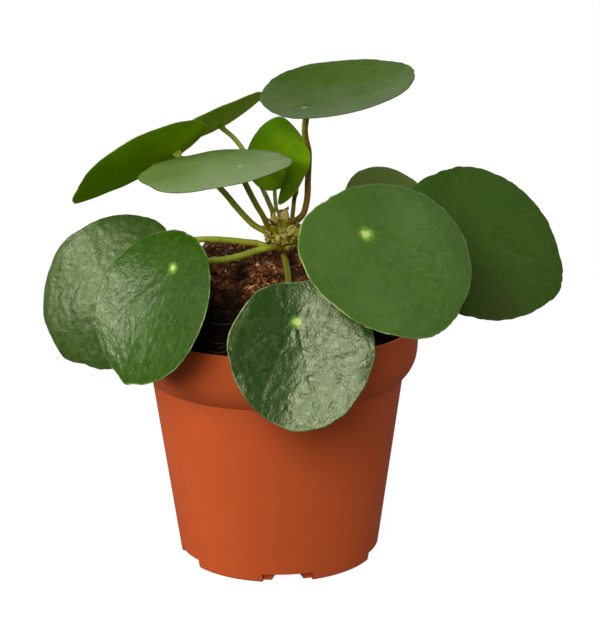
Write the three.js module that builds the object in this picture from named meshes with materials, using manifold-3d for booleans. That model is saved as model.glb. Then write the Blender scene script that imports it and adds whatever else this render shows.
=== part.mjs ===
import * as THREE from "three";
import { mergeVertices } from "three/addons/utils/BufferGeometryUtils.js";
import Module from "manifold-3d";

// Potted Chinese money plant (Pilea peperomioides) in a 10.5 cm nursery pot.
// Millimetres, +Z up. The origin is the middle of the pot's base, on the
// surface it stands on. -Y is the front of the plant.

// ---- Driving dimensions (mm) ----
const POT_RIM_RADIUS = 52.5;
const POT_HEIGHT = 89.2;
const POT_SHOULDER_RADIUS = 46.8; // where the tapered body meets the rim band
const POT_SHOULDER_HEIGHT = 68.5;
const POT_BASE_RADIUS = 37.3;
const POT_WALL = 1.25;
const POT_FLOOR = 1.5;
const POT_SEGMENTS = 56;

const CHANNEL_COUNT = 5; // drainage channels moulded into the base
const CHANNEL_FIRST_ANGLE = 4.7; // degrees from the front, towards +X
const CHANNEL_HEIGHT = 3.2;
const CHANNEL_BOTTOM_WIDTH = 11.6; // its section is a trapezoid
const CHANNEL_TOP_WIDTH = 7.4;
const CHANNEL_INNER_RADIUS = 18.0; // where it ends, towards the middle
const CHANNEL_WALL = 1.2;
const NOTCH_WIDTH = 18.6; // cut in the outer wall, in front of each channel
const NOTCH_DEPTH = 2.4;
const DRAIN_HOLE_RADIUS = 2.9;
const DRAIN_HOLE_POSITION = 24.5;

const GAP = 0.3; // clearance between pieces that touch

const STEM_X = 2.5;
const STEM_BOTTOM = 103.0;
const LEAF_THICKNESS = 1.0;
const LEAF_SEGMENTS = 28;

// Each leaf is a peltate disc. centre and normal place it (the normal points
// out of the upper face), radius is its mean radius, dome bends the margin
// back (positive) or up (negative), saddle twists it, and lobes are the cosine
// and sine terms of order 2 to 8 of its outline. spot is where the petiole
// meets the blade, in radii along the blade's own axes.
const LEAVES = [
  { id: "01", centre: [22.98, 4.01, 171.9], normal: [-0.17, -0.2103, 0.9627], radius: 28.60,
    dome: -0.1121, saddle: [0.0005, -0.0063], spot: [-0.438, -0.308],
    lobes: [-0.011, -0.0303, 0.0162, 0.0075, -0.0075, 0.003, -0.0021, 0.0056, 0.0027, 0.0017, -0.0034, 0.003, 0.0008, 0.0035] },
  { id: "02", centre: [-27.08, 41.99, 153.26], normal: [-0.4286, 0.2504, 0.8681], radius: 26.11,
    dome: -0.1013, saddle: [-0.0072, -0.0136], spot: [-0.299, 0.116],
    lobes: [-0.0037, -0.0022, 0.0118, -0.001, 0.0003, 0.0065, -0.0021, 0.0018, -0.0028, -0.0012, -0.0001, -0.0007, -0.0002, -0.0007] },
  { id: "03", centre: [-50.55, 17.98, 143.88], normal: [-0.4647, 0.3339, 0.8201], radius: 29.21,
    dome: -0.0738, saddle: [-0.0051, 0.0211], spot: [-0.520, 0.222],
    lobes: [-0.0333, 0.0424, 0.0088, 0.0142, -0.0006, 0.0199, 0.006, -0.0027, 0.0013, 0.0043, -0.0029, -0.0048, 0.0074, 0.007] },
  { id: "04", centre: [-21.08, -21.98, 149.47], normal: [-0.1006, -0.0672, 0.9927], radius: 27.30,
    dome: -0.0146, saddle: [0.0030, -0.0199], spot: [0.318, 0.026],
    lobes: [-0.0213, 0.0066, 0.0008, 0.0034, -0.0009, -0.0181, 0.0007, 0.0021, 0.0069, -0.0005, -0.0067, -0.0099, 0.0037, 0.0007] },
  { id: "05", centre: [1.12, 16.02, 148.16], normal: [-0.5602, -0.8034, 0.202], radius: 13.28,
    dome: -0.1208, saddle: [-0.0176, 0.0251], spot: [0.047, -0.528],
    lobes: [-0.0048, 0.0224, 0.0157, -0.022, 0.0141, -0.0013, -0.0038, 0.0083, -0.0062, 0.0052, -0.0018, -0.0022, 0.001, -0.0049] },
  { id: "06", centre: [7.63, -2.98, 144.3], normal: [-0.8199, -0.4856, 0.3034], radius: 9.02,
    dome: -0.1670, saddle: [-0.0538, -0.1020], spot: [0.189, -0.511],
    lobes: [-0.3043, 0.0899, 0.0043, 0.0242, -0.0071, 0.0018, -0.0034, -0.003, -0.0034, 0.0029, 0.0039, 0.0009, 0.0006, -0.0027] },
  { id: "07", centre: [42.53, 42.0, 127.05], normal: [0.1967, 0.8398, 0.506], radius: 15.69,
    dome: 0.0480, saddle: [-0.0008, 0.0125], spot: [-0.100, 0.100],
    lobes: [0.0028, 0.0066, -0.0094, -0.004, 0.0044, -0.0066, 0.0024, 0.0027, -0.0023, -0.0019, 0.0044, -0.0013, 0.0008, 0.0049] },
  { id: "08", centre: [-62.31, -6.06, 102.9], normal: [-0.5124, -0.7241, 0.4617], radius: 29.66,
    dome: 0.0273, saddle: [0.0261, -0.0387], spot: [0.120, 0.280],
    lobes: [0.0032, 0.0208, -0.016, 0.002, -0.0053, -0.0015, 0.009, 0.0015, 0.0005, -0.0057, -0.0013, -0.0042, -0.0091, 0.0034] },
  { id: "09", centre: [-43.53, -40.01, 105.5], normal: [-0.6599, -0.6329, 0.4049], radius: 27.91,
    dome: 0.0230, saddle: [0.0349, -0.0120], spot: [0.166, 0.511],
    lobes: [0.0123, 0.0024, -0.0142, 0.0025, 0.01, -0.0026, -0.0037, 0.0033, -0.0024, -0.0009, 0.0018, 0.0032, -0.0001, 0.0009] },
  { id: "10", centre: [8.15, -65.96, 95.09], normal: [0.1181, -0.8632, 0.4908], radius: 25.25,
    dome: 0.0299, saddle: [0.0004, -0.0055], spot: [-0.035, 0.422],
    lobes: [-0.03, 0.0168, -0.0029, 0.0264, 0.0081, -0.0035, 0.0043, -0.0067, 0.0043, -0.0025, 0.0026, 0.0115, -0.0015, -0.003] },
  { id: "11", centre: [37.96, -58.03, 125.45], normal: [0.307, -0.6976, 0.6474], radius: 30.16,
    dome: 0.0247, saddle: [-0.0052, 0.0463], spot: [-0.183, 0.326],
    lobes: [0.0298, -0.0056, -0.0087, 0.0234, 0.0044, 0.0003, 0.0048, 0.0001, -0.0019, -0.0037, -0.0012, -0.0035, -0.0006, 0.0025] },
  { id: "12", centre: [77.74, 7.92, 115.88], normal: [0.2911, -0.775, 0.561], radius: 30.96,
    dome: 0.0259, saddle: [-0.0232, -0.0296], spot: [-0.340, 0.120],
    lobes: [-0.013, -0.0432, 0.007, -0.0021, -0.0177, -0.0086, -0.0033, 0.0, -0.0005, 0.0105, -0.0084, -0.0026, 0.0055, 0.0047] },
];

// Petiole centre lines, from the stem out to the blade.
const PETIOLES = [
  { id: "01", radius: 1.20, path: [[6.22, 1.98, 124.3], [7.63, 2.73, 125.9], [9.96, 3.5, 128.29], [11.47, 4.2, 133.37], [11.89, 4.6, 140.75], [12.18, 3.9, 147.54], [12.06, 2.2, 152.25], [11.18, 0.3, 156.23], [10.73, -2.4, 160.3], [11.25, -4.27, 166.33], [10.97, -4.62, 167.92]] },
  { id: "02", radius: 1.15, path: [[0.05, 3.5, 123.3], [-0.98, 4.98, 125.1], [-0.6, 4.6, 128.17], [-2.14, 9.8, 132.42], [-4.23, 19, 134.46], [-8.17, 31, 139.96], [-12.38, 39, 146.55], [-16.62, 43.5, 151.3], [-19.71, 46.73, 152.41], [-20.63, 47.27, 154.27]] },
  { id: "03", radius: 1.20, path: [[-1.91, 0.62, 120.8], [-3.89, 0.9, 122.4], [-8.12, 3.5, 124.35], [-11.42, 6, 127.06], [-14.74, 8.5, 130.35], [-17.34, 11, 133.09], [-20.32, 13.5, 136.04], [-26.36, 19, 141.33], [-32.09, 24, 145.25], [-36.22, 26.39, 145.54], [-37.22, 27.1, 147.31]] },
  { id: "04", radius: 1.10, path: [[-1.09, -2.07, 123.3], [-2.65, -2.97, 124.74], [-4.51, -6.5, 129.36], [-6.77, -10, 134.13], [-8.82, -14, 138.94], [-10.49, -17.5, 143.23], [-11.81, -20, 146.93], [-12.2, -21.11, 147.95], [-12.37, -21.23, 149.59]] },
  { id: "05", radius: 0.80, path: [[3.48, 3.41, 126.2], [3.75, 4.38, 127.4], [0.56, 7.2, 128.76], [-0.08, 10.2, 131.19], [-0.27, 13.8, 133.51], [-0.28, 17.2, 135.14], [0.3, 18.6, 137.8], [1.9, 18.2, 140.2], [1.77, 15.87, 140.95], [1.01, 14.78, 141.22]] },
  { id: "06", radius: 0.85, path: [[5.68, -1.48, 126.3], [6.59, -1.91, 127.3], [6.04, -0.7, 127.69], [6.55, -0.4, 130.97], [7.16, -1, 134.8], [7.6, -1.9, 138.6]] },
  { id: "07", radius: 1.00, path: [[5.57, 3.17, 120.4], [7.09, 4.76, 122.38], [13, 9, 123.6], [24, 19.5, 125.6], [33.5, 29, 125], [38.5, 35, 124.6], [43.28, 38.33, 126.88], [43.7, 40.13, 127.97]] },
  { id: "08", radius: 1.20, path: [[-1.67, -0.51, 116.6], [-3.85, -0.78, 117.26], [-6.69, -0.6, 118.26], [-11.44, -1.5, 119.07], [-16.89, -2.5, 119.98], [-22.33, -3.4, 120.61], [-27.8, -3.6, 120.64], [-34.45, -2.2, 119.65], [-41, 1.2, 117.2], [-48, 4.6, 112.8], [-53, 3, 108.6], [-55.45, -2.52, 108.7], [-56.65, -4.22, 109.78]] },
  { id: "09", radius: 1.25, path: [[0.13, -3.39, 117.3], [-1.02, -5.03, 117.8], [-7.41, -5.5, 116.55], [-10.65, -8.5, 116.14], [-13.87, -11.5, 115.93], [-17.05, -14.5, 115.83], [-20.54, -18, 116.12], [-23.97, -22, 116.86], [-27.8, -28.2, 116.6], [-31.3, -33.6, 115.6], [-33.86, -37.17, 117.13], [-35.28, -38.53, 118]] },
  { id: "10", radius: 1.20, path: [[2.64, -4.01, 114.6], [2.72, -6.41, 114.84], [3.44, -13, 113.31], [3.84, -20, 112.18], [4.12, -29, 111.4], [4.3, -38, 109.2], [5, -47, 103.6], [5.6, -53.5, 101.6], [6.12, -57.68, 102.54], [6.44, -60.06, 103.89]] },
  { id: "11", radius: 1.25, path: [[5.29, -3.33, 120.8], [6.84, -5.17, 122.24], [11, -13, 123.6], [17.5, -26, 124.6], [23.5, -38.5, 126], [28.97, -51.32, 130.05], [30, -53.66, 132.22]] },
  { id: "12", radius: 1.25, path: [[6.87, -0.46, 117.8], [9.45, -0.73, 119.1], [16, -0.2, 120.8], [31, 3.4, 124.6], [45, 9, 124.8], [56.5, 13.2, 121], [62.5, 13, 117.2], [66.19, 8.73, 117.1], [66.88, 6.91, 118.42]] },
];

// ---- Materials ----
const material = (name, color, roughness, metalness = 0) =>
  Object.assign(new THREE.MeshStandardMaterial({ color, roughness, metalness }), { name });
const terracottaPlastic = () => material("terracotta_plastic", 0xb9552c, 0.5);
const pottingSoil = () => material("potting_soil", 0x2f1c12, 0.95);
const leafGreen = () => material("leaf_green", 0x42662a, 0.42);
const youngLeafGreen = () => material("young_leaf_green", 0x4f7d14, 0.45);
const petioleGreen = () => material("petiole_green", 0x6f7a2a, 0.5);
const stemBrown = () => material("stem_brown", 0x6b5a30, 0.8);
const dryStipule = () => material("dry_stipule", 0xb59c68, 0.85);

// ---- Geometry helpers ----
// One closed body: shared vertices merged, no empty triangles, faces out.
function closed(geometry) {
  const bare = new THREE.BufferGeometry();
  bare.setAttribute("position", geometry.getAttribute("position").clone());
  if (geometry.index) bare.setIndex(geometry.index.clone());
  const merged = mergeVertices(bare, 1e-3);
  const source = merged.index.array;
  const p = merged.getAttribute("position");
  const index = [];
  for (let i = 0; i < source.length; i += 3) {
    const [a, b, c] = [source[i], source[i + 1], source[i + 2]];
    if (a !== b && b !== c && c !== a) index.push(a, b, c);
  }
  const at = (i) => new THREE.Vector3().fromBufferAttribute(p, i);
  let volume = 0;
  for (let i = 0; i < index.length; i += 3) {
    volume += at(index[i]).dot(at(index[i + 1]).cross(at(index[i + 2])));
  }
  if (volume < 0) {
    for (let i = 0; i < index.length; i += 3) {
      [index[i + 1], index[i + 2]] = [index[i + 2], index[i + 1]];
    }
  }
  merged.setIndex(index);
  merged.computeVertexNormals();
  return merged;
}

// A profile of [radius, height] points turned about +Z.
function turned(profile, segments) {
  const points = profile.map(([r, z]) => new THREE.Vector2(r, z));
  return closed(new THREE.LatheGeometry(points, segments).rotateX(Math.PI / 2));
}

function remap(geometry, move) {
  const p = geometry.getAttribute("position");
  const v = new THREE.Vector3();
  for (let i = 0; i < p.count; i++) {
    v.fromBufferAttribute(p, i);
    move(v);
    p.setXYZ(i, v.x, v.y, v.z);
  }
  return closed(geometry);
}

const wasm = await Module();
wasm.setup();

function toSolid(geometry) {
  const vertProperties = new Float32Array(geometry.getAttribute("position").array);
  const triVerts = new Uint32Array(geometry.index.array);
  return new wasm.Manifold(new wasm.Mesh({ numProp: 3, vertProperties, triVerts }));
}

function toGeometry(solid) {
  const mesh = solid.getMesh();
  const position = new Float32Array(mesh.numVert * 3);
  for (let i = 0; i < mesh.numVert; i++) {
    for (let k = 0; k < 3; k++) {
      position[3 * i + k] = mesh.vertProperties[i * mesh.numProp + k];
    }
  }
  const geometry = new THREE.BufferGeometry();
  geometry.setAttribute("position", new THREE.BufferAttribute(position, 3));
  geometry.setIndex(Array.from(mesh.triVerts));
  geometry.computeVertexNormals();
  return geometry;
}

// ---- Pot ----
const bodyTaper = (POT_SHOULDER_RADIUS - POT_BASE_RADIUS) / POT_SHOULDER_HEIGHT;
const bodyRadius = (z) => POT_BASE_RADIUS + bodyTaper * z;
// Rim band: an ogee from the shoulder out to a slightly tapered band.
const bandOuter = [
  [0, 0], [1.5, 1.6], [3.3, 4.0], [4.4, 6.3], [5.0, 8.7], [5.35, 13],
].map(([r, z]) => [POT_SHOULDER_RADIUS + r, POT_SHOULDER_HEIGHT + z]);
const outerProfile = [
  [0, 0],
  [POT_BASE_RADIUS - 0.6, 0],
  [bodyRadius(0.8), 0.8],
  ...bandOuter,
  [POT_RIM_RADIUS, POT_HEIGHT - 0.5],
  [POT_RIM_RADIUS - 0.4, POT_HEIGHT],
  [0, POT_HEIGHT],
];
const innerProfile = [
  [0, POT_FLOOR],
  [bodyRadius(POT_FLOOR) - POT_WALL - 0.6, POT_FLOOR],
  [bodyRadius(POT_FLOOR + 0.6) - POT_WALL, POT_FLOOR + 0.6],
  [POT_SHOULDER_RADIUS - POT_WALL, POT_SHOULDER_HEIGHT + 0.6],
  ...bandOuter.slice(1).map(([r, z]) => [r - POT_WALL - 0.1, z + 0.5]),
  [POT_RIM_RADIUS - POT_WALL - 0.2, POT_HEIGHT - 0.5],
  [POT_RIM_RADIUS - POT_WALL + 0.1, POT_HEIGHT + 1],
  [0, POT_HEIGHT + 1],
];

// A bar along a radius with a trapezoid section, from radius inner to outer.
function radialBar(angle, inner, outer, bottomWidth, topWidth, height) {
  const slope = (bottomWidth - topWidth) / 2 / height;
  const low = bottomWidth / 2 + 2 * slope; // the section starts 2 mm below the base
  const shape = new THREE.Shape([
    new THREE.Vector2(-low, -2),
    new THREE.Vector2(low, -2),
    new THREE.Vector2(topWidth / 2, height),
    new THREE.Vector2(-topWidth / 2, height),
  ]);
  const bar = new THREE.ExtrudeGeometry(shape, { depth: outer - inner, bevelEnabled: false });
  bar.translate(0, 0, inner);
  bar.rotateX(Math.PI / 2);
  bar.rotateZ(THREE.MathUtils.degToRad(angle));
  return toSolid(closed(bar));
}
// The hollow under the base at one channel, grown by the wall over it.
const channel = (angle, grow) =>
  radialBar(
    angle, CHANNEL_INNER_RADIUS - grow, 50, CHANNEL_BOTTOM_WIDTH + 2 * grow,
    CHANNEL_TOP_WIDTH + 2 * grow, CHANNEL_HEIGHT + grow,
  );
const notch = (angle, grow) =>
  radialBar(
    angle, POT_BASE_RADIUS - NOTCH_DEPTH - grow, 50, NOTCH_WIDTH + 2 * grow,
    NOTCH_WIDTH + 2 * grow, CHANNEL_HEIGHT + grow,
  );
const channelAngles = Array.from(
  { length: CHANNEL_COUNT },
  (_, i) => CHANNEL_FIRST_ANGLE + (360 / CHANNEL_COUNT) * i,
);

function potGeometry() {
  let cavity = toSolid(turned(innerProfile, POT_SEGMENTS));
  for (const angle of channelAngles) {
    cavity = cavity.subtract(channel(angle, CHANNEL_WALL)).subtract(notch(angle, CHANNEL_WALL));
  }
  let pot = toSolid(turned(outerProfile, POT_SEGMENTS)).subtract(cavity);
  for (const angle of channelAngles) {
    pot = pot.subtract(channel(angle, 0)).subtract(notch(angle, 0));
    const drain = new THREE.CylinderGeometry(DRAIN_HOLE_RADIUS, DRAIN_HOLE_RADIUS, 12, 12);
    drain.rotateX(Math.PI / 2);
    drain.translate(0, -DRAIN_HOLE_POSITION, 2);
    drain.rotateZ(THREE.MathUtils.degToRad(angle));
    pot = pot.subtract(toSolid(closed(drain)));
  }
  return toGeometry(pot);
}

// ---- Root ball: it fills the pot's body and mounds above the rim ----
const SOIL_SEGMENTS = 40;
const STEM_HOLE_RADIUS = 4.1;
const soilTop = [
  [45.0, 84], [44.2, 93], [42, 99.6], [39, 105.2], [35, 109.2], [30, 111.4],
  [22, 111.4], [12, 110.8],
];
const FRONT_DROP = 4.2; // the mound is lower at the front
function soilGeometry() {
  const bottom = POT_FLOOR + GAP;
  const side = (z) => bodyRadius(z) - POT_WALL - GAP - 0.1;
  const profile = [
    [0, bottom],
    [side(bottom) - 0.9, bottom],
    [side(bottom + 1.0), bottom + 1.0],
    [side(66), 66],
    ...soilTop,
    [STEM_HOLE_RADIUS, 110.6],
    [STEM_HOLE_RADIUS, STEM_BOTTOM - GAP],
    [0, STEM_BOTTOM - GAP],
  ];
  const body = remap(turned(profile, SOIL_SEGMENTS), (v) => {
    const r = Math.hypot(v.x, v.y);
    if (v.z > 80) {
      const front = r > 0.01 ? Math.max(0, -v.y / r) : 0;
      if (r > STEM_HOLE_RADIUS + 1) v.z -= FRONT_DROP * front * Math.min(1, r / 28);
      else v.x += STEM_X;
    }
  });
  let soil = toSolid(body);
  for (const angle of channelAngles) {
    soil = soil
      .subtract(channel(angle, CHANNEL_WALL + GAP))
      .subtract(notch(angle, CHANNEL_WALL + GAP));
  }
  return toGeometry(soil);
}

// ---- Stem and terminal bud ----
const stemGeometry = () =>
  turned(
    [[0, STEM_BOTTOM], [3.0, STEM_BOTTOM], [3.4, STEM_BOTTOM + 0.8], [3.6, 112], [3.4, 120],
     [2.9, 125], [1.9, 128.5], [0, 128.7]],
    14,
  ).translate(STEM_X, 0, 0);
const budGeometry = () =>
  turned([[0, 129.0], [1.5, 129.3], [1.45, 130.4], [0.8, 132.2], [0, 133.2]], 10)
    .translate(STEM_X, 0, 0);

// Dry papery stipules: thin almond-shaped scales around the top of the stem.
const STIPULES = [
  { id: "1", azimuth: -112, height: 121.6, length: 2.2, lean: 28 },
  { id: "2", azimuth: -84, height: 118.9, length: 1.9, lean: 34 },
  { id: "3", azimuth: -78, height: 123.6, length: 2.0, lean: 24 },
  { id: "4", azimuth: 15, height: 121.3, length: 1.5, lean: 30 },
];
function stipuleGeometry({ azimuth, height, length, lean }) {
  const scale = new THREE.SphereGeometry(1, 6, 4);
  scale.rotateX(Math.PI / 2);
  scale.scale(0.3, 0.75, length);
  scale.rotateY(THREE.MathUtils.degToRad(lean));
  const radius = 3.1 + GAP + 0.4 + 0.5 * length;
  scale.translate(radius, 0, height);
  scale.rotateZ(THREE.MathUtils.degToRad(azimuth));
  scale.translate(STEM_X, 0, 0);
  return closed(scale);
}

// ---- Leaves ----
function leafFrame(leaf) {
  const n = new THREE.Vector3(...leaf.normal).normalize();
  const e = Math.abs(n.z) < 0.9 ? new THREE.Vector3(0, 0, 1) : new THREE.Vector3(0, 1, 0);
  const v = e.addScaledVector(n, -e.dot(n)).normalize();
  const u = new THREE.Vector3().crossVectors(v, n);
  return { u, v, n };
}
function leafGeometry(leaf) {
  const t = LEAF_THICKNESS / 2;
  const disc = turned(
    [[0, -t], [0.5, -t], [1, -t], [1, t], [0.5, t], [0, t]],
    LEAF_SEGMENTS,
  );
  const { u, v, n } = leafFrame(leaf);
  const centre = new THREE.Vector3(...leaf.centre);
  return remap(disc, (p) => {
    const angle = Math.atan2(p.y, p.x);
    let r = 1;
    for (let k = 2; k <= 8; k++) {
      r += leaf.lobes[2 * (k - 2)] * Math.cos(k * angle)
        + leaf.lobes[2 * (k - 2) + 1] * Math.sin(k * angle);
    }
    r *= leaf.radius;
    const x = p.x * r;
    const y = p.y * r;
    const lift = p.z + (-leaf.dome * (x * x + y * y)
      + leaf.saddle[0] * (x * x - y * y) + 2 * leaf.saddle[1] * x * y) / leaf.radius;
    p.copy(centre).addScaledVector(u, x).addScaledVector(v, y).addScaledVector(n, lift);
  });
}

// ---- Petioles ----
function petioleGeometry({ radius, path }) {
  const curve = new THREE.CatmullRomCurve3(path.map((p) => new THREE.Vector3(...p)), false, "centripetal");
  const section = new THREE.Shape(
    Array.from({ length: 8 }, (_, i) => {
      const a = (i / 8) * 2 * Math.PI;
      return new THREE.Vector2(radius * Math.cos(a), radius * Math.sin(a));
    }),
  );
  const steps = Math.max(6, Math.round(curve.getLength() / 4.5));
  return closed(
    new THREE.ExtrudeGeometry(section, { steps, bevelEnabled: false, extrudePath: curve }),
  );
}

// ---- Assembly ----
const plant = new THREE.Group();
plant.name = "potted_chinese_money_plant";
function add(parent, name, geometry, meshMaterial) {
  const mesh = new THREE.Mesh(geometry, meshMaterial);
  mesh.name = name;
  parent.add(mesh);
}

const container = new THREE.Group();
add(container, "pot", potGeometry(), terracottaPlastic());
add(container, "soil", soilGeometry(), pottingSoil());
plant.add(container);

const crown = new THREE.Group();
add(crown, "stem", stemGeometry(), stemBrown());
add(crown, "terminal_bud", budGeometry(), stemBrown());
for (const stipule of STIPULES) {
  add(crown, `stipule_${stipule.id}`, stipuleGeometry(stipule), dryStipule());
}
plant.add(crown);

const foliage = new THREE.Group();
for (const leaf of LEAVES) {
  const young = leaf.id === "05" || leaf.id === "06";
  add(foliage, `leaf_${leaf.id}`, leafGeometry(leaf), young ? youngLeafGreen() : leafGreen());
}
for (const petiole of PETIOLES) {
  add(foliage, `petiole_${petiole.id}`, petioleGeometry(petiole), petioleGreen());
}
plant.add(foliage);

export default plant;
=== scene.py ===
import math

import bpy
import numpy as np
from mathutils import Matrix, Vector


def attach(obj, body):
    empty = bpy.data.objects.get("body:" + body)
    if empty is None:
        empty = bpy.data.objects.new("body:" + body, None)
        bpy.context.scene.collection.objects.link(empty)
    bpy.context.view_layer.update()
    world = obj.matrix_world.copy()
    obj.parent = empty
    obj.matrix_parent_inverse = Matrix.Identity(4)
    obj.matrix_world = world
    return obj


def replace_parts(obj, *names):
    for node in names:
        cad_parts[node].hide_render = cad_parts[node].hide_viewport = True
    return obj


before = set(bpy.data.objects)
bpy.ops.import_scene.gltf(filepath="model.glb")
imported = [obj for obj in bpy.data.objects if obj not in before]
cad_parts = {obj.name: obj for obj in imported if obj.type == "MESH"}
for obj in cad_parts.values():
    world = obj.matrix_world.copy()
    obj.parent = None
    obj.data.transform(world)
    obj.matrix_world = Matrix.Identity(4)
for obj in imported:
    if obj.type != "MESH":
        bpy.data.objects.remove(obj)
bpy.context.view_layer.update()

MM = 0.001


# ---------------------------------------------------------------- helpers
def lin(r, g, b):
    """An sRGB colour of 0 to 255 as a linear colour."""
    out = []
    for c in (r, g, b):
        c = c / 255.0
        out.append(c / 12.92 if c <= 0.04045 else ((c + 0.055) / 1.055) ** 2.4)
    return tuple(out)


def smooth(a, b, x):
    t = np.clip((x - a) / (b - a), 0, 1)
    return t * t * (3 - 2 * t)


def lattice(ix, iy, iz, seed):
    m = np.uint64(0xFFFFFFFF)
    h = (
        ix.astype(np.uint64) * np.uint64(374761393)
        + iy.astype(np.uint64) * np.uint64(668265263)
        + iz.astype(np.uint64) * np.uint64(2246822519)
        + np.uint64(seed) * np.uint64(3266489917)
    ) & m
    h = ((h ^ (h >> np.uint64(15))) * np.uint64(2246822519)) & m
    h = ((h ^ (h >> np.uint64(13))) * np.uint64(3266489917)) & m
    h = h ^ (h >> np.uint64(16))
    return h.astype(np.float64) / 2147483647.5 - 1.0


def noise(p, size, seed):
    """Smooth noise of -1 to 1 at the points p (N, 3), with features of about size."""
    q = np.asarray(p, float) / size + 1000.0
    i = np.floor(q)
    f = q - i
    f = f * f * f * (f * (f * 6 - 15) + 10)
    i = i.astype(np.int64)
    total = np.zeros(len(q))
    for dx in (0, 1):
        wx = f[:, 0] if dx else 1 - f[:, 0]
        for dy in (0, 1):
            wy = f[:, 1] if dy else 1 - f[:, 1]
            for dz in (0, 1):
                wz = f[:, 2] if dz else 1 - f[:, 2]
                total += wx * wy * wz * lattice(i[:, 0] + dx, i[:, 1] + dy, i[:, 2] + dz, seed)
    return total


def build(name, verts_mm, faces, attributes=None, colours=None, material=None, sharp=None, smooth_faces=True):
    """A mesh object from points in millimetres. faces is a list of tuples or an (N, k) array."""
    verts = np.asarray(verts_mm, float) * MM
    mesh = bpy.data.meshes.new(name)
    if isinstance(faces, np.ndarray):
        faces = faces.tolist()
    mesh.from_pydata(verts.tolist(), [], faces)
    if smooth_faces:
        mesh.polygons.foreach_set("use_smooth", np.ones(len(mesh.polygons), bool))
    for key, values in (attributes or {}).items():
        a = mesh.attributes.new(key, "FLOAT", "POINT")
        a.data.foreach_set("value", np.asarray(values, np.float32))
    for key, values in (colours or {}).items():
        a = mesh.attributes.new(key, "FLOAT_COLOR", "POINT")
        rgba = np.ones((len(verts), 4), np.float32)
        rgba[:, :3] = values
        a.data.foreach_set("color", rgba.ravel())
    mesh.update()
    if sharp is not None:
        mesh.set_sharp_from_angle(angle=math.radians(sharp))
    mesh.validate()
    obj = bpy.data.objects.new(name, mesh)
    bpy.context.scene.collection.objects.link(obj)
    if material is not None:
        mesh.materials.append(material)
    return obj


class Parts:
    """Several closed bodies gathered into one mesh."""

    def __init__(self):
        self.v, self.f, self.a, self.n = [], [], {}, 0

    def add(self, verts, faces, **attributes):
        verts = np.asarray(verts, float)
        self.v.append(verts)
        self.f.extend([tuple(int(i) + self.n for i in face) for face in faces])
        for key, value in attributes.items():
            value = np.asarray(value, float)
            if value.ndim == 0:
                value = np.full(len(verts), float(value))
            self.a.setdefault(key, []).append(value)
        self.n += len(verts)

    def object(self, name, material, sharp=None, smooth_faces=True):
        return build(
            name, np.vstack(self.v), self.f,
            {k: np.concatenate(v) for k, v in self.a.items()},
            material=material, sharp=sharp, smooth_faces=smooth_faces,
        )


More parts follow.
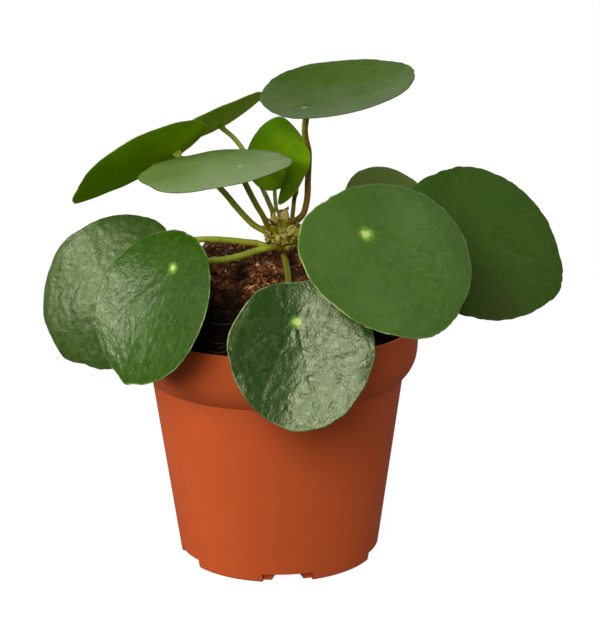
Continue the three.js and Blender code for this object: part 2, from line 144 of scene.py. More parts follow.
# ---------------------------------------------------------------- node helpers
class Nodes:
    def __init__(self, name):
        self.mat = bpy.data.materials.new(name)
        self.mat.use_nodes = True
        self.tree = self.mat.node_tree
        self.tree.nodes.clear()
        self.out = self.new("ShaderNodeOutputMaterial")
        self.coord = self.new("ShaderNodeTexCoord").outputs["Object"]

    def new(self, kind, **settings):
        node = self.tree.nodes.new(kind)
        for key, value in settings.items():
            setattr(node, key, value)
        return node

    def link(self, a, b):
        self.tree.links.new(a, b)

    def put(self, socket, value):
        if hasattr(value, "is_output"):
            self.link(value, socket)
        elif isinstance(value, (tuple, list)) and len(value) == 3 and socket.type == "RGBA":
            socket.default_value = (*value, 1.0)
        else:
            socket.default_value = value

    def attr(self, name, colour=False):
        node = self.new("ShaderNodeAttribute", attribute_name=name)
        return node.outputs["Color"] if colour else node.outputs["Fac"]

    def math(self, op, a, b=0.0, clamp=False):
        node = self.new("ShaderNodeMath", operation=op, use_clamp=clamp)
        self.put(node.inputs[0], a)
        self.put(node.inputs[1], b)
        return node.outputs[0]

    def ramp(self, fac, stops, interpolation="LINEAR"):
        node = self.new("ShaderNodeValToRGB")
        node.color_ramp.interpolation = interpolation
        elements = node.color_ramp.elements
        while len(elements) < len(stops):
            elements.new(0.5)
        for element, (place, colour) in zip(elements, stops):
            element.position = place
            if isinstance(colour, (int, float)):
                colour = (colour, colour, colour)
            element.color = (*colour, 1.0)
        self.put(node.inputs[0], fac)
        return node.outputs["Color"]

    def span(self, value, a, b, lo=0.0, hi=1.0):
        node = self.new("ShaderNodeMapRange", interpolation_type="SMOOTHSTEP")
        self.put(node.inputs["Value"], value)
        node.inputs["From Min"].default_value = a
        node.inputs["From Max"].default_value = b
        node.inputs["To Min"].default_value = lo
        node.inputs["To Max"].default_value = hi
        return node.outputs["Result"]

    def mix(self, fac, a, b, blend="MIX"):
        node = self.new("ShaderNodeMix", data_type="RGBA", blend_type=blend)
        self.put(node.inputs[0], fac)
        self.put(node.inputs[6], a)
        self.put(node.inputs[7], b)
        return node.outputs[2]

    def noise(self, scale, detail=3.0, roughness=0.55, distortion=0.0, vector=None):
        """Noise at a scale in features per metre."""
        node = self.new("ShaderNodeTexNoise")
        self.link(vector or self.coord, node.inputs["Vector"])
        node.inputs["Scale"].default_value = scale
        node.inputs["Detail"].default_value = detail
        node.inputs["Roughness"].default_value = roughness
        node.inputs["Distortion"].default_value = distortion
        return node.outputs["Fac"]

    def voronoi(self, scale, feature="DISTANCE_TO_EDGE", vector=None, randomness=1.0):
        node = self.new("ShaderNodeTexVoronoi", feature=feature)
        self.link(vector or self.coord, node.inputs["Vector"])
        node.inputs["Scale"].default_value = scale
        node.inputs["Randomness"].default_value = randomness
        return node.outputs["Distance"]

    def bump(self, height, distance, strength=1.0, normal=None):
        node = self.new("ShaderNodeBump")
        node.inputs["Strength"].default_value = strength
        node.inputs["Distance"].default_value = distance
        self.put(node.inputs["Height"], height)
        if normal is not None:
            self.link(normal, node.inputs["Normal"])
        return node.outputs["Normal"]

    def principled(self, **settings):
        node = self.new("ShaderNodeBsdfPrincipled")
        names = {
            "colour": "Base Color", "roughness": "Roughness", "specular": "Specular IOR Level",
            "normal": "Normal", "coat": "Coat Weight", "coat_roughness": "Coat Roughness",
            "sheen": "Sheen Weight", "sheen_roughness": "Sheen Roughness",
            "subsurface": "Subsurface Weight", "metallic": "Metallic", "tint": "Specular Tint",
        }
        for key, value in settings.items():
            self.put(node.inputs[names[key]], value)
        return node.outputs[0]

    def finish(self, shader):
        self.link(shader, self.out.inputs["Surface"])
        return self.mat


# ---------------------------------------------------------------- materials
def leaf_material(name, dark, light, under, sheen=0.30, through=(0.20, 0.52, 0.02), share=0.26,
                  gloss=0.5, tint=(0.93, 1.0, 0.62), rim=(0.40, 0.55, 0.20), rim_share=0.75,
                  spot=(0.78, 1.0, 0.28), ring=(0.19, 0.47, 0.040), vein_colour=(0.17, 0.27, 0.075), vein_share=0.26, under_gloss=0.10,
                  spot_size=1.0, mottle=0.20, pale_and_painted_light=None, dull_and_painted_shade=None, painted_rim_highlight=None):
    m = Nodes(name)
    broad = m.noise(60, 3)
    fine = m.noise(420, 4, 0.6)
    colour = m.mix(m.span(broad, 0.35, 0.65), dark, light)
    colour = m.mix(m.math("MULTIPLY", m.span(fine, 0.45, 0.7), mottle), colour, tuple(min(1, 1.7 * c) for c in light))
    colour = m.mix(m.math("MULTIPLY", m.span(m.noise(340, 3, 0.6), 0.48, 0.68), 1.3 * mottle), colour, tuple(0.55 * c for c in dark))
    vein = m.attr("vein")
    colour = m.mix(m.math("MULTIPLY", vein, vein_share), colour, vein_colour)
    freckles = m.span(m.voronoi(560, "F1"), 0.10, 0.22, 1.0, 0.0)
    few = m.span(m.noise(330, 2), 0.58, 0.68)
    colour = m.mix(m.math("MULTIPLY", m.math("MULTIPLY", freckles, few), 0.22), colour, vein_colour)
    side = m.attr("side")
    colour = m.mix(m.span(side, 0.3, 0.7), under, colour)
    # Pale patches: partly paler leaf tissue, partly painted light on parts that lie in shadow and a painted sheen; dull
    # patches: partly brown edges, partly painted shade.
    colour = m.mix(m.attr("pale_and_painted_light"), colour, pale_and_painted_light or tuple(1.7 * c for c in light))
    colour = m.mix(m.attr("dull_and_painted_shade"), colour, dull_and_painted_shade or (0.9 * dark[0], 0.7 * dark[1], dark[2]))
    edge = m.attr("rimd")
    patches = m.span(m.noise(150, 3, 0.6), 0.36, 0.60, 0.15, 1.0)
    line = m.span(edge, 0.08, 0.50, 1.0, 0.0)
    # Where rimlit is set, the rim takes the brighter colour: a painted highlight along a lit edge.
    colour = m.mix(m.math("MULTIPLY", m.math("MULTIPLY", line, patches), rim_share), colour, m.mix(m.attr("rimlit"), rim, painted_rim_highlight or rim))
    place = m.math("ADD", m.attr("spotd"), m.span(m.noise(700, 2), 0.25, 0.75, -0.45, 0.45))
    colour = m.mix(m.span(place, 1.2 * spot_size, 3.0 * spot_size, 1.0, 0.0), colour, ring)
    colour = m.mix(m.span(place, 0.5 * spot_size, 1.8 * spot_size, 1.0, 0.0), colour, spot)
    wrinkles = m.noise(1100, 4, 0.6, 0.5)
    cells = m.span(m.voronoi(760), 0.0, 0.34)
    normal = m.bump(cells, 0.00006, 0.5)
    normal = m.bump(wrinkles, 0.00013, 0.55, normal)
    rough = m.span(fine, 0.3, 0.7, sheen - 0.05, sheen + 0.08)
    rough = m.math("ADD", rough, m.span(side, 0.3, 0.7, 0.22, 0.0))
    shine = m.span(side, 0.3, 0.7, under_gloss, gloss)
    shader = m.principled(colour=colour, roughness=rough, specular=shine, tint=tint, normal=normal)
    glow = m.new("ShaderNodeBsdfTranslucent")
    lit = m.mix(m.math("MULTIPLY", vein, 0.5), through, tuple(0.55 * c for c in through))
    lit = m.mix(m.span(broad, 0.3, 0.7), lit, tuple(0.8 * c for c in through))
    lit = m.mix(m.span(place, 0.5, 3.0, 1.0, 0.0), lit, (0.5, 0.8, 0.12))
    m.put(glow.inputs["Color"], lit)
    m.link(normal, glow.inputs["Normal"])
    mixer = m.new("ShaderNodeMixShader")
    mixer.inputs[0].default_value = share
    m.link(shader, mixer.inputs[1])
    m.link(glow.outputs[0], mixer.inputs[2])
    return m.finish(mixer.outputs[0])


def petiole_material():
    m = Nodes("petiole_skin")
    colour = m.attr("tint", colour=True)
    streak = m.noise(380, 3, 0.6)
    colour = m.mix(m.span(streak, 0.45, 0.75, 0.0, 0.45), colour, m.mix(1.0, colour, (0.55, 0.45, 0.35), "MULTIPLY"))
    spots = m.span(m.voronoi(1500, "F1"), 0.12, 0.30, 1.0, 0.0)
    colour = m.mix(m.math("MULTIPLY", spots, 0.16), colour, (0.42, 0.46, 0.14))
    normal = m.bump(m.noise(1300, 3, 0.6), 0.00012, 0.6)
    rough = m.span(streak, 0.3, 0.7, 0.38, 0.5)
    shader = m.principled(colour=colour, roughness=rough, specular=0.20, tint=(0.95, 1.0, 0.5), normal=normal)
    glow = m.new("ShaderNodeBsdfTranslucent")
    m.put(glow.inputs["Color"], colour)
    mixer = m.new("ShaderNodeMixShader")
    mixer.inputs[0].default_value = 0.22
    m.link(shader, mixer.inputs[1])
    m.link(glow.outputs[0], mixer.inputs[2])
    return m.finish(mixer.outputs[0])


def pot_material():
    m = Nodes("terracotta_plastic")
    cloud = m.noise(26, 3, 0.5)
    fine = m.noise(900, 3, 0.6)
    colour = m.mix(m.span(cloud, 0.3, 0.7), (0.625, 0.103, 0.0250), (0.668, 0.114, 0.0290))
    colour = m.mix(m.span(fine, 0.5, 0.8, 0.0, 0.16), colour, (0.68, 0.15, 0.050))
    scuff = m.span(m.noise(70, 5, 0.7, 0.8), 0.60, 0.72)
    colour = m.mix(m.math("MULTIPLY", scuff, 0.10), colour, (0.66, 0.20, 0.09))
    grain = m.noise(2600, 2, 0.6)
    waves = m.noise(45, 2, 0.5)
    normal = m.bump(waves, 0.0012, 0.25)
    normal = m.bump(grain, 0.00006, 0.6, normal)
    rough = m.math("ADD", m.span(fine, 0.3, 0.7, 0.44, 0.52), m.math("MULTIPLY", scuff, 0.08))
    return m.finish(m.principled(colour=colour, roughness=rough, specular=0.15, tint=(1.0, 0.74, 0.58), normal=normal))


def soil_material():
    m = Nodes("peat_and_coir")
    height = m.attr("high")
    tone = m.noise(420, 5, 0.7)
    grain = m.voronoi(900, "F1")
    # The near-black wet colour is partly moist peat, partly painted shade on the low sides and in the hollows in front
    # of the stem.
    wet_and_shaded = m.ramp(tone, [(0.30, (0.0050, 0.0026, 0.0010)), (0.55, (0.013, 0.0070, 0.0026)), (0.75, (0.034, 0.017, 0.006))])
    dry = m.ramp(tone, [(0.30, (0.026, 0.009, 0.003)), (0.46, (0.12, 0.038, 0.012)), (0.60, (0.52, 0.180, 0.048)), (0.74, (0.86, 0.44, 0.17))])
    colour = m.mix(height, wet_and_shaded, dry)
    colour = m.mix(m.span(grain, 0.2, 0.6, 0.0, 0.5), colour, m.mix(1.0, colour, (0.35, 0.33, 0.3), "MULTIPLY"))
    normal = m.bump(m.noise(700, 6, 0.7), 0.0011, 0.9)
    normal = m.bump(m.noise(3200, 3, 0.6), 0.00018, 0.7, normal)
    rough = m.span(tone, 0.3, 0.7, 0.72, 0.95)
    return m.finish(m.principled(colour=colour, roughness=rough, specular=0.12, normal=normal))


def litter_material(name, stops, rough=(0.6, 0.85), bump=0.00035, scale=900):
    m = Nodes(name)
    tone = m.attr("tone")
    colour = m.ramp(tone, stops)
    grain = m.noise(scale, 4, 0.65, 0.4)
    colour = m.mix(m.span(grain, 0.35, 0.7, 0.0, 0.6), colour, m.mix(1.0, colour, (0.45, 0.36, 0.30), "MULTIPLY"))
    normal = m.bump(grain, bump, 0.8)
    return m.finish(m.principled(colour=colour, roughness=m.span(grain, 0.3, 0.7, *rough), specular=0.2, normal=normal))


def stem_material():
    m = Nodes("stem_bark")
    colour = m.attr("tint", colour=True)
    blotch_and_gap_shade = m.noise(520, 4, 0.65)
    # Dark blotches: partly the bark's own mottling, partly painted shade that makes the gaps between the scales look
    # dark.
    colour = m.mix(m.span(blotch_and_gap_shade, 0.42, 0.62, 0.0, 0.9), colour, m.mix(1.0, colour, (0.24, 0.15, 0.12), "MULTIPLY"))
    colour = m.mix(m.span(m.noise(900, 3), 0.58, 0.74, 0.0, 0.5), colour, (0.34, 0.27, 0.05))
    normal = m.bump(m.noise(1000, 5, 0.65), 0.0003, 0.8)
    return m.finish(m.principled(colour=colour, roughness=m.span(blotch_and_gap_shade, 0.3, 0.7, 0.5, 0.8), specular=0.10, tint=(1.0, 0.9, 0.5), normal=normal))


def stipule_material():
    m = Nodes("dry_stipule")
    veins = m.noise(800, 4, 0.6, 1.2)
    straw = m.mix(m.span(veins, 0.4, 0.65), (0.96, 0.86, 0.32), (0.68, 0.58, 0.13))
    olive = m.mix(m.span(veins, 0.4, 0.65), (0.46, 0.41, 0.018), (0.21, 0.175, 0.008))
    shade = m.attr("shade")
    colour = m.mix(shade, straw, olive)
    colour = m.mix(m.span(shade, -0.9, -0.1, 1.0, 0.0), colour, m.mix(m.span(veins, 0.4, 0.65), (1.0, 0.88, 0.36), (1.0, 0.72, 0.24)))
    tip = m.attr("tip")
    colour = m.mix(m.span(tip, 0.88, 1.0), colour, (0.10, 0.055, 0.025))
    # Towards the scales' bases the colour turns dark olive-brown: painted shade in the crown's recesses.
    colour = m.mix(m.span(tip, 0.34, 0.05), colour, (0.13, 0.090, 0.008))
    normal = m.bump(veins, 0.0002, 0.7)
    shader = m.principled(colour=colour, roughness=m.span(veins, 0.3, 0.7, 0.6, 0.8), specular=0.12, tint=(1.0, 0.95, 0.5), normal=normal)
    glow = m.new("ShaderNodeBsdfTranslucent")
    m.put(glow.inputs["Color"], colour)
    mixer = m.new("ShaderNodeMixShader")
    mixer.inputs[0].default_value = 0.25
    m.link(shader, mixer.inputs[1])
    m.link(glow.outputs[0], mixer.inputs[2])
    return m.finish(mixer.outputs[0])


# ---------------------------------------------------------------- pot
POT_RIM, POT_HEIGHT = 52.5, 89.2
SHOULDER_R, SHOULDER_Z, BASE_R = 46.8, 68.5, 37.3
WALL, FLOOR = 1.25, 1.5
TAPER = (SHOULDER_R - BASE_R) / SHOULDER_Z
CHANNEL_H, CHANNEL_B, CHANNEL_T, CHANNEL_END = 3.2, 5.8, 3.7, 18.0
PANEL_R = BASE_R - 2.4
FIRST, COUNT = 4.7, 5
BAND = [
    (0, 0), (0.5, 0.35), (1.55, 1.6), (2.5, 2.8), (3.3, 3.95), (3.9, 5.1), (4.45, 6.3), (4.85, 7.5),
    (5.08, 8.7), (5.25, 9.8), (5.4, 11.0), (5.5, 12.6), (5.58, 15.0), (5.64, 18.0),
]


def wall_r(z):
    return BASE_R + TAPER * z


def build_pot(material):
    notch = math.degrees(math.asin(9.3 / BASE_R))

    def sector(radius, half_b, half_t):
        """Column angles of one sector where the channel's edges are at these half widths."""
        b = math.degrees(math.asin(min(0.98, half_b / radius)))
        t = math.degrees(math.asin(min(0.98, half_t / radius)))
        return b, t

    b0, t0 = sector(PANEL_R, CHANNEL_B, CHANNEL_T)
    half = (
        [36 + (notch - 36) * i / 18 for i in range(18)]
        + [notch + (b0 - notch) * i / 4 for i in range(4)]
        + [b0 + (t0 - b0) * i / 3 for i in range(3)]
        + [t0 * (1 - i / 5) for i in range(5)]
    )
    base = [-a for a in half] + [0.0] + half[:0:-1]  # from -36 up to just under +36
    n_sector = len(base)
    angles = np.array([FIRST + 72 * k + a for k in range(COUNT) for a in base])
    local = np.array(base * COUNT)
    centre = np.array([FIRST + 72 * k for k in range(COUNT) for _ in base])
    n = len(angles)
    in_notch = np.abs(local) < notch - 1e-6
    at_notch = np.abs(local) < notch + 1e-6
    V, F = [], []

    def ring(radius, z, ang=angles):
        start = sum(len(v) for v in V)
        a = np.radians(ang)
        radius = np.broadcast_to(np.asarray(radius, float), (n,))
        z = np.broadcast_to(np.asarray(z, float), (n,))
        V.append(np.stack([radius * np.sin(a), -radius * np.cos(a), z], 1))
        return start

    def strip(a, b, keep=None, flip=False):
        for i in range(n):
            j = (i + 1) % n
            if keep is not None and not keep[i]:
                continue
            quad = (a + i, a + j, b + j, b + i)
            F.append(quad[::-1] if flip else quad)

    cell_notch = np.array([at_notch[i] and at_notch[(i + 1) % n] and (in_notch[i] or in_notch[(i + 1) % n]) for i in range(n)])
    not_notch = ~cell_notch

    def plate(radius, half_b, half_t, low, high, end=False):
        """One ring of the base plate: column angles and heights."""
        r = max(radius, CHANNEL_END - 1.0)
        b, t = sector(r, half_b, half_t)
        bw, tw = sector(PANEL_R, CHANNEL_B, CHANNEL_T)
        ang = np.empty(n)
        z = np.full(n, low)
        for i, a in enumerate(local):
            s, m = (-1 if a < 0 else 1), abs(a)
            if m >= bw:
                m2 = b + (m - bw) / (36 - bw) * (36 - b)
                h = low
            elif m >= tw:
                m2 = t + (m - tw) / (bw - tw) * (b - t)
                h = high + (low - high) * (m - tw) / (bw - tw)
            else:
                m2 = m / tw * t
                h = high
            ang[i] = centre[i] + s * m2
            z[i] = low if end else h
        return ang, z

    # Outer wall from the base edge up to the lip, then down the inside.
    r0 = ring(BASE_R - 0.45, 0.0)
    r1 = ring(BASE_R + 0.02, 0.55)
    r2 = ring(wall_r(CHANNEL_H), CHANNEL_H)
    strip(r0, r1, not_notch)
    strip(r1, r2, not_notch)
    last = r2
    for z in (5, 9, 14, 20, 27, 34, 41, 48, 55, 61, 65, 67.4):
        r = ring(wall_r(z), z)
        strip(last, r)
        last = r
    for dr, dz in BAND:
        r = ring(SHOULDER_R + dr, SHOULDER_Z + dz)
        strip(last, r)
        last = r
    for rr, zz in ((52.47, 88.1), (52.5, 88.55), (52.42, 88.9), (52.2, 89.12), (51.95, 89.2), (51.5, 89.2),
                   (51.28, 89.08), (51.15, 88.8), (51.1, 88.3), (50.98, 84.0), (50.85, 80.0)):
        r = ring(rr, zz)
        strip(last, r)
        last = r
    for dr, dz in reversed(BAND[:-3]):
        r = ring(SHOULDER_R + dr - WALL, SHOULDER_Z + dz + 0.55)
        strip(last, r)
        last = r
    for z in (60, 45, 30, 15, 7, CHANNEL_H + 1.4):
        r = ring(wall_r(z) - WALL, z)
        strip(last, r)
        last = r
    # Top of the base plate, over the channels and notches.
    ang, zt = plate(PANEL_R, CHANNEL_B, CHANNEL_T, FLOOR, CHANNEL_H + 1.2)
    top = np.where(at_notch, CHANNEL_H + 1.2, FLOOR)
    r = ring(wall_r(2) - WALL - 0.02, np.where(at_notch, CHANNEL_H + 1.25, FLOOR + 0.3))
    strip(last, r)
    last = r
    r = ring(PANEL_R - 1.3, top)
    strip(last, r)
    last = r
    for radius, end in ((PANEL_R - 1.9, False), (30, False), (25, False), (21, False), (CHANNEL_END - 1.2, False), (CHANNEL_END - 2.2, True), (11, True), (6, True), (2.5, True)):
        ang, zt = plate(radius, CHANNEL_B + 1.2, CHANNEL_T + 1.2, FLOOR, CHANNEL_H + 1.2, end)
        r = ring(radius, zt, ang)
        strip(last, r)
        last = r
    inner_top = last
    # Underside: wall edge, notch ceiling and panel, then the plate.
    bottom_panel = ring(PANEL_R, 0.0)
    ceiling_panel = ring(PANEL_R, CHANNEL_H)
    ang, zb = plate(PANEL_R, CHANNEL_B, CHANNEL_T, 0.0, CHANNEL_H)
    plate_ring = ring(PANEL_R, zb, ang)
    for i in range(n):
        j = (i + 1) % n
        if cell_notch[i]:
            F.append((r2 + i, r2 + j, ceiling_panel + j, ceiling_panel + i)[::-1])
            if zb[i] < CHANNEL_H - 1e-6 or zb[j] < CHANNEL_H - 1e-6:
                F.append((plate_ring + i, plate_ring + j, ceiling_panel + j, ceiling_panel + i))
        else:
            F.append((r0 + i, r0 + j, plate_ring + j, plate_ring + i)[::-1])
    for i in range(n):
        # side walls of each notch
        if at_notch[i] and not in_notch[i]:
            face = (r0 + i, r1 + i, r2 + i, ceiling_panel + i, plate_ring + i)
            F.append(face if local[i] < 0 else face[::-1])
    last = plate_ring
    for radius, end in ((31.5, False), (28, False), (24.5, False), (21, False), (CHANNEL_END, False), (CHANNEL_END - 1.0, True), (12, True), (7, True), (3, True)):
        ang, zb = plate(radius, CHANNEL_B, CHANNEL_T, 0.0, CHANNEL_H, end)
        r = ring(radius, zb, ang)
        strip(last, r, flip=True)
        last = r
    verts = np.vstack(V)
    c_top = len(verts)
    verts = np.vstack([verts, [[0, 0, FLOOR], [0, 0, 0]]])
    for i in range(n):
        j = (i + 1) % n
        F.append((inner_top + i, inner_top + j, c_top))
        F.append((last + j, last + i, c_top + 1))
    used = np.zeros(len(verts), bool)
    for face in F:
        used[list(face)] = True
    # merge equal points and drop unused ones
    key = np.round(verts, 4)
    order = {}
    remap = np.zeros(len(verts), int)
    kept = []
    for i, k in enumerate(map(tuple, key)):
        if not used[i]:
            continue
        if k not in order:
            order[k] = len(kept)
            kept.append(verts[i])
        remap[i] = order[k]
    faces = []
    for face in F:
        f2 = []
        for i in face:
            r = int(remap[i])
            if not f2 or (f2[-1] != r and f2[0] != r):
                f2.append(r)
        if len(f2) >= 3:
            faces.append(tuple(f2))
    pot = build("pot_shell", np.array(kept), faces, material=material)
    # Drain holes through the channel ceilings.
    cutters = []
    for k in range(COUNT):
        a = math.radians(FIRST + 72 * k)
        bpy.ops.mesh.primitive_cylinder_add(
            vertices=40, radius=2.9 * MM, depth=12 * MM,
            location=(24.5 * MM * math.sin(a), -24.5 * MM * math.cos(a), 3.8 * MM),
        )
        cutters.append(bpy.context.active_object)
    for cutter in cutters:
        mod = pot.modifiers.new("hole", "BOOLEAN")
        mod.operation = "DIFFERENCE"
        mod.solver = "EXACT"
        mod.object = cutter
        dg = bpy.context.evaluated_depsgraph_get()
        mesh = bpy.data.meshes.new_from_object(pot.evaluated_get(dg))
        pot.modifiers.clear()
        pot.data = mesh
    for cutter in cutters:
        bpy.data.objects.remove(cutter, do_unlink=True)
    pot.data.polygons.foreach_set("use_smooth", np.ones(len(pot.data.polygons), bool))
    pot.data.set_sharp_from_angle(angle=math.radians(26))
    return pot


# ---------------------------------------------------------------- root ball
STEM_X = 2.5
SOIL_PROFILE = np.array([
    [36.2, 1.9], [44.4, 66], [45.0, 84], [44.6, 90], [43.9, 95], [42.4, 99.6], [40.2, 103.6], [37.6, 106.8],
    [34.6, 109.4], [30, 111.2], [22, 111.6], [12, 111.0], [4.3, 110.6], [2.2, 108.4], [0, 107.6],
])


def soil_path(t):
    """Points of the mound's profile at shares t of its length above z 66."""
    p = SOIL_PROFILE[1:]
    seg = np.hypot(*np.diff(p, axis=0).T)
    s = np.concatenate([[0], np.cumsum(seg)]) / seg.sum()
    r = np.interp(t, s, p[:, 0])
    z = np.interp(t, s, p[:, 1])
    return r, z


def soil_point(angle, t, clump=True):
    """Points of the soil's surface. angle is from the front towards +X."""
    angle, t = np.asarray(angle, float), np.asarray(t, float)
    r, z = soil_path(t)
    x, y = r * np.sin(angle), -r * np.cos(angle)
    front = np.maximum(0, np.cos(angle))
    z = z - np.where(z > 80, 4.2 * front * np.minimum(1, r / 28) * smooth(80, 92, z), 0)
    z = z + 3.8 * np.exp(-(((x + 24) / 14) ** 2 + ((y - 25) / 12) ** 2)) * smooth(96, 104, z)
    p = np.stack([x, y, z], 1)
    if clump:
        e = 0.01
        r2, z2 = soil_path(np.clip(t + e, 0, 1))
        r1, z1 = soil_path(np.clip(t - e, 0, 1))
        nr, nz = -(z1 - z2), (r1 - r2)
        length = np.hypot(nr, nz) + 1e-9
        nr, nz = nr / length, nz / length
        normal = np.stack([nr * np.sin(angle), -nr * np.cos(angle), nz], 1)
        high = smooth(70, 82, z)
        d = 1.25 * noise(p, 9.0, 11) + 0.95 * noise(p, 4.2, 12)
        rid = 1 - np.abs(noise(p, 2.6, 13))
        d = d + 0.85 * (rid - 0.6) + 0.42 * noise(p, 1.35, 14) + 0.2 * noise(p, 0.8, 15)
        # crumbs: a few deeper holes between clods
        holes = smooth(0.35, 0.75, noise(p, 6.0, 16))
        gap = np.exp(-(((p[:, 0] + 12.6) / 2.8) ** 2 + ((p[:, 1] + 9.5) / 9.0) ** 2))
        d = d - 2.2 * holes - 3.0 * gap
        d = np.clip(d, -4.2, 1.7) * high * smooth(2.5, 8.0, np.hypot(p[:, 0] - STEM_X, p[:, 1]))
        p = p + normal * d[:, None]
        p[:, 0] += STEM_X * smooth(12, 3, r)
    return p


def soil_frame(angle, t):
    p = soil_point(angle, t)
    e = 0.012
    pa = soil_point(angle + 0.03, t) - soil_point(angle - 0.03, t)
    pt = soil_point(angle, np.clip(t + e, 0, 1)) - soil_point(angle, np.clip(t - e, 0, 1))
    nn = np.cross(pa, pt)
    nn /= np.linalg.norm(nn, axis=1)[:, None] + 1e-9
    out = np.stack([np.sin(angle), -np.cos(angle), np.full(len(angle), 0.6)], 1)
    nn *= np.sign((nn * out).sum(1))[:, None]
    return p, nn


def build_soil(material):
    cols, rows = 420, 170
    angle = np.linspace(0, 2 * math.pi, cols, endpoint=False)
    t = np.linspace(0, 1, rows) ** 1.0
    A, T = np.meshgrid(angle, t)
    body = soil_point(A.ravel(), T.ravel())
    # the last ring closes at a point
    verts = [body[: cols * (rows - 1)], body[cols * (rows - 1):].mean(0, keepdims=True)]
    low = np.stack([36.2 * np.sin(angle), -36.2 * np.cos(angle), np.full(cols, 4.9)], 1)
    start_low = cols * (rows - 1) + 1
    verts += [low, [[0, 0, 4.9]]]
    faces = []
    for j in range(rows - 2):
        for i in range(cols):
            k = (i + 1) % cols
            faces.append((j * cols + i, j * cols + k, (j + 1) * cols + k, (j + 1) * cols + i))
    tip = cols * (rows - 1)
    j = rows - 2
    for i in range(cols):
        k = (i + 1) % cols
        faces.append((j * cols + i, j * cols + k, tip))
        faces.append((start_low + i, start_low + k, k, i))
        faces.append((start_low + k, start_low + i, start_low + cols))
    V = np.vstack(verts)
    high = dry_lit_share(V)
    obj = build("root_ball", V, faces, {"high": high}, material=material)
    return obj


def dry_lit_share(p):
    """How dry and lit the surface is: 1 on top, 0 low on the side and in the front hollows, where the dark colour is
    partly painted shade.
    """
    base = smooth(99.5, 106.5, p[:, 2] + 2.2 * noise(p, 7.0, 21) + 1.6 * np.maximum(0, p[:, 1]) / 10)
    patch = smooth(0.25, 0.65, noise(p, 9.0, 22))
    x, y = p[:, 0], p[:, 1]
    # hollow: three dark patches in front of the stem, painted shade under the front leaves.
    hollow = 1.3 * np.exp(-(((x + 12.6) / 3.3) ** 2 + ((y + 10.0) / 10.0) ** 2)) + 0.9 * np.exp(-(((x + 17) / 6) ** 2 + ((y + 30) / 9) ** 2)) + np.exp(-(((x - 12) / 8) ** 2 + ((y + 12) / 9) ** 2))
    return np.clip(base * (1 - 0.3 * patch) * (1 - 0.95 * np.clip(hollow, 0, 1)), 0, 1)


def flake(rng, a, b, c):
    """A splinter of bark: a flattened, irregular block with chamfered ends."""
    xs = [-1, -0.45, 0.35, 1]
    V = []
    for k, x in enumerate(xs):
        w = (0.45 if k in (0, 3) else 1.0) * rng.uniform(0.7, 1.1)
        h = (0.5 if k in (0, 3) else 1.0) * rng.uniform(0.7, 1.15)
        dy, dz = rng.uniform(-0.15, 0.15, 2)
        for sy, sz in ((-1, -1), (1, -1), (1, 1), (-1, 1)):
            V.append([x * a / 2 + rng.uniform(-0.06, 0.06) * a, (sy * w * rng.uniform(0.8, 1.1) + dy) * b / 2, (sz * h + dz) * c / 2])
    F = [(3, 2, 1, 0), (12, 13, 14, 15)]
    for k in range(3):
        for i in range(4):
            j = (i + 1) % 4
            F.append((4 * k + i, 4 * k + j, 4 * k + 4 + j, 4 * k + 4 + i))
    return np.array(V), F


def turn_to(normal, spin, tilt, rng):
    n = normal / np.linalg.norm(normal)
    ref = np.array([0.0, 0.0, 1.0]) if abs(n[2]) < 0.9 else np.array([1.0, 0.0, 0.0])
    u = np.cross(ref, n)
    u /= np.linalg.norm(u)
    v = np.cross(n, u)
    cs, sn = math.cos(spin), math.sin(spin)
    u, v = cs * u + sn * v, -sn * u + cs * v
    ct, st = math.cos(tilt), math.sin(tilt)
    u, n = ct * u + st * n, -st * u + ct * n
    return np.stack([u, v, n], 1)


def scatter(rng, count, t_low, t_high):
    angle = rng.uniform(0, 2 * math.pi, count)
    t = t_low + (t_high - t_low) * rng.uniform(0, 1, count) ** 0.9
    keep_r, _ = soil_path(t)
    keep = rng.uniform(0, 1, count) < np.clip(keep_r / 42, 0.12, 1)
    return angle[keep], t[keep]


T_TOP = 0.33  # the share of the profile where the mound clears the pot's lip


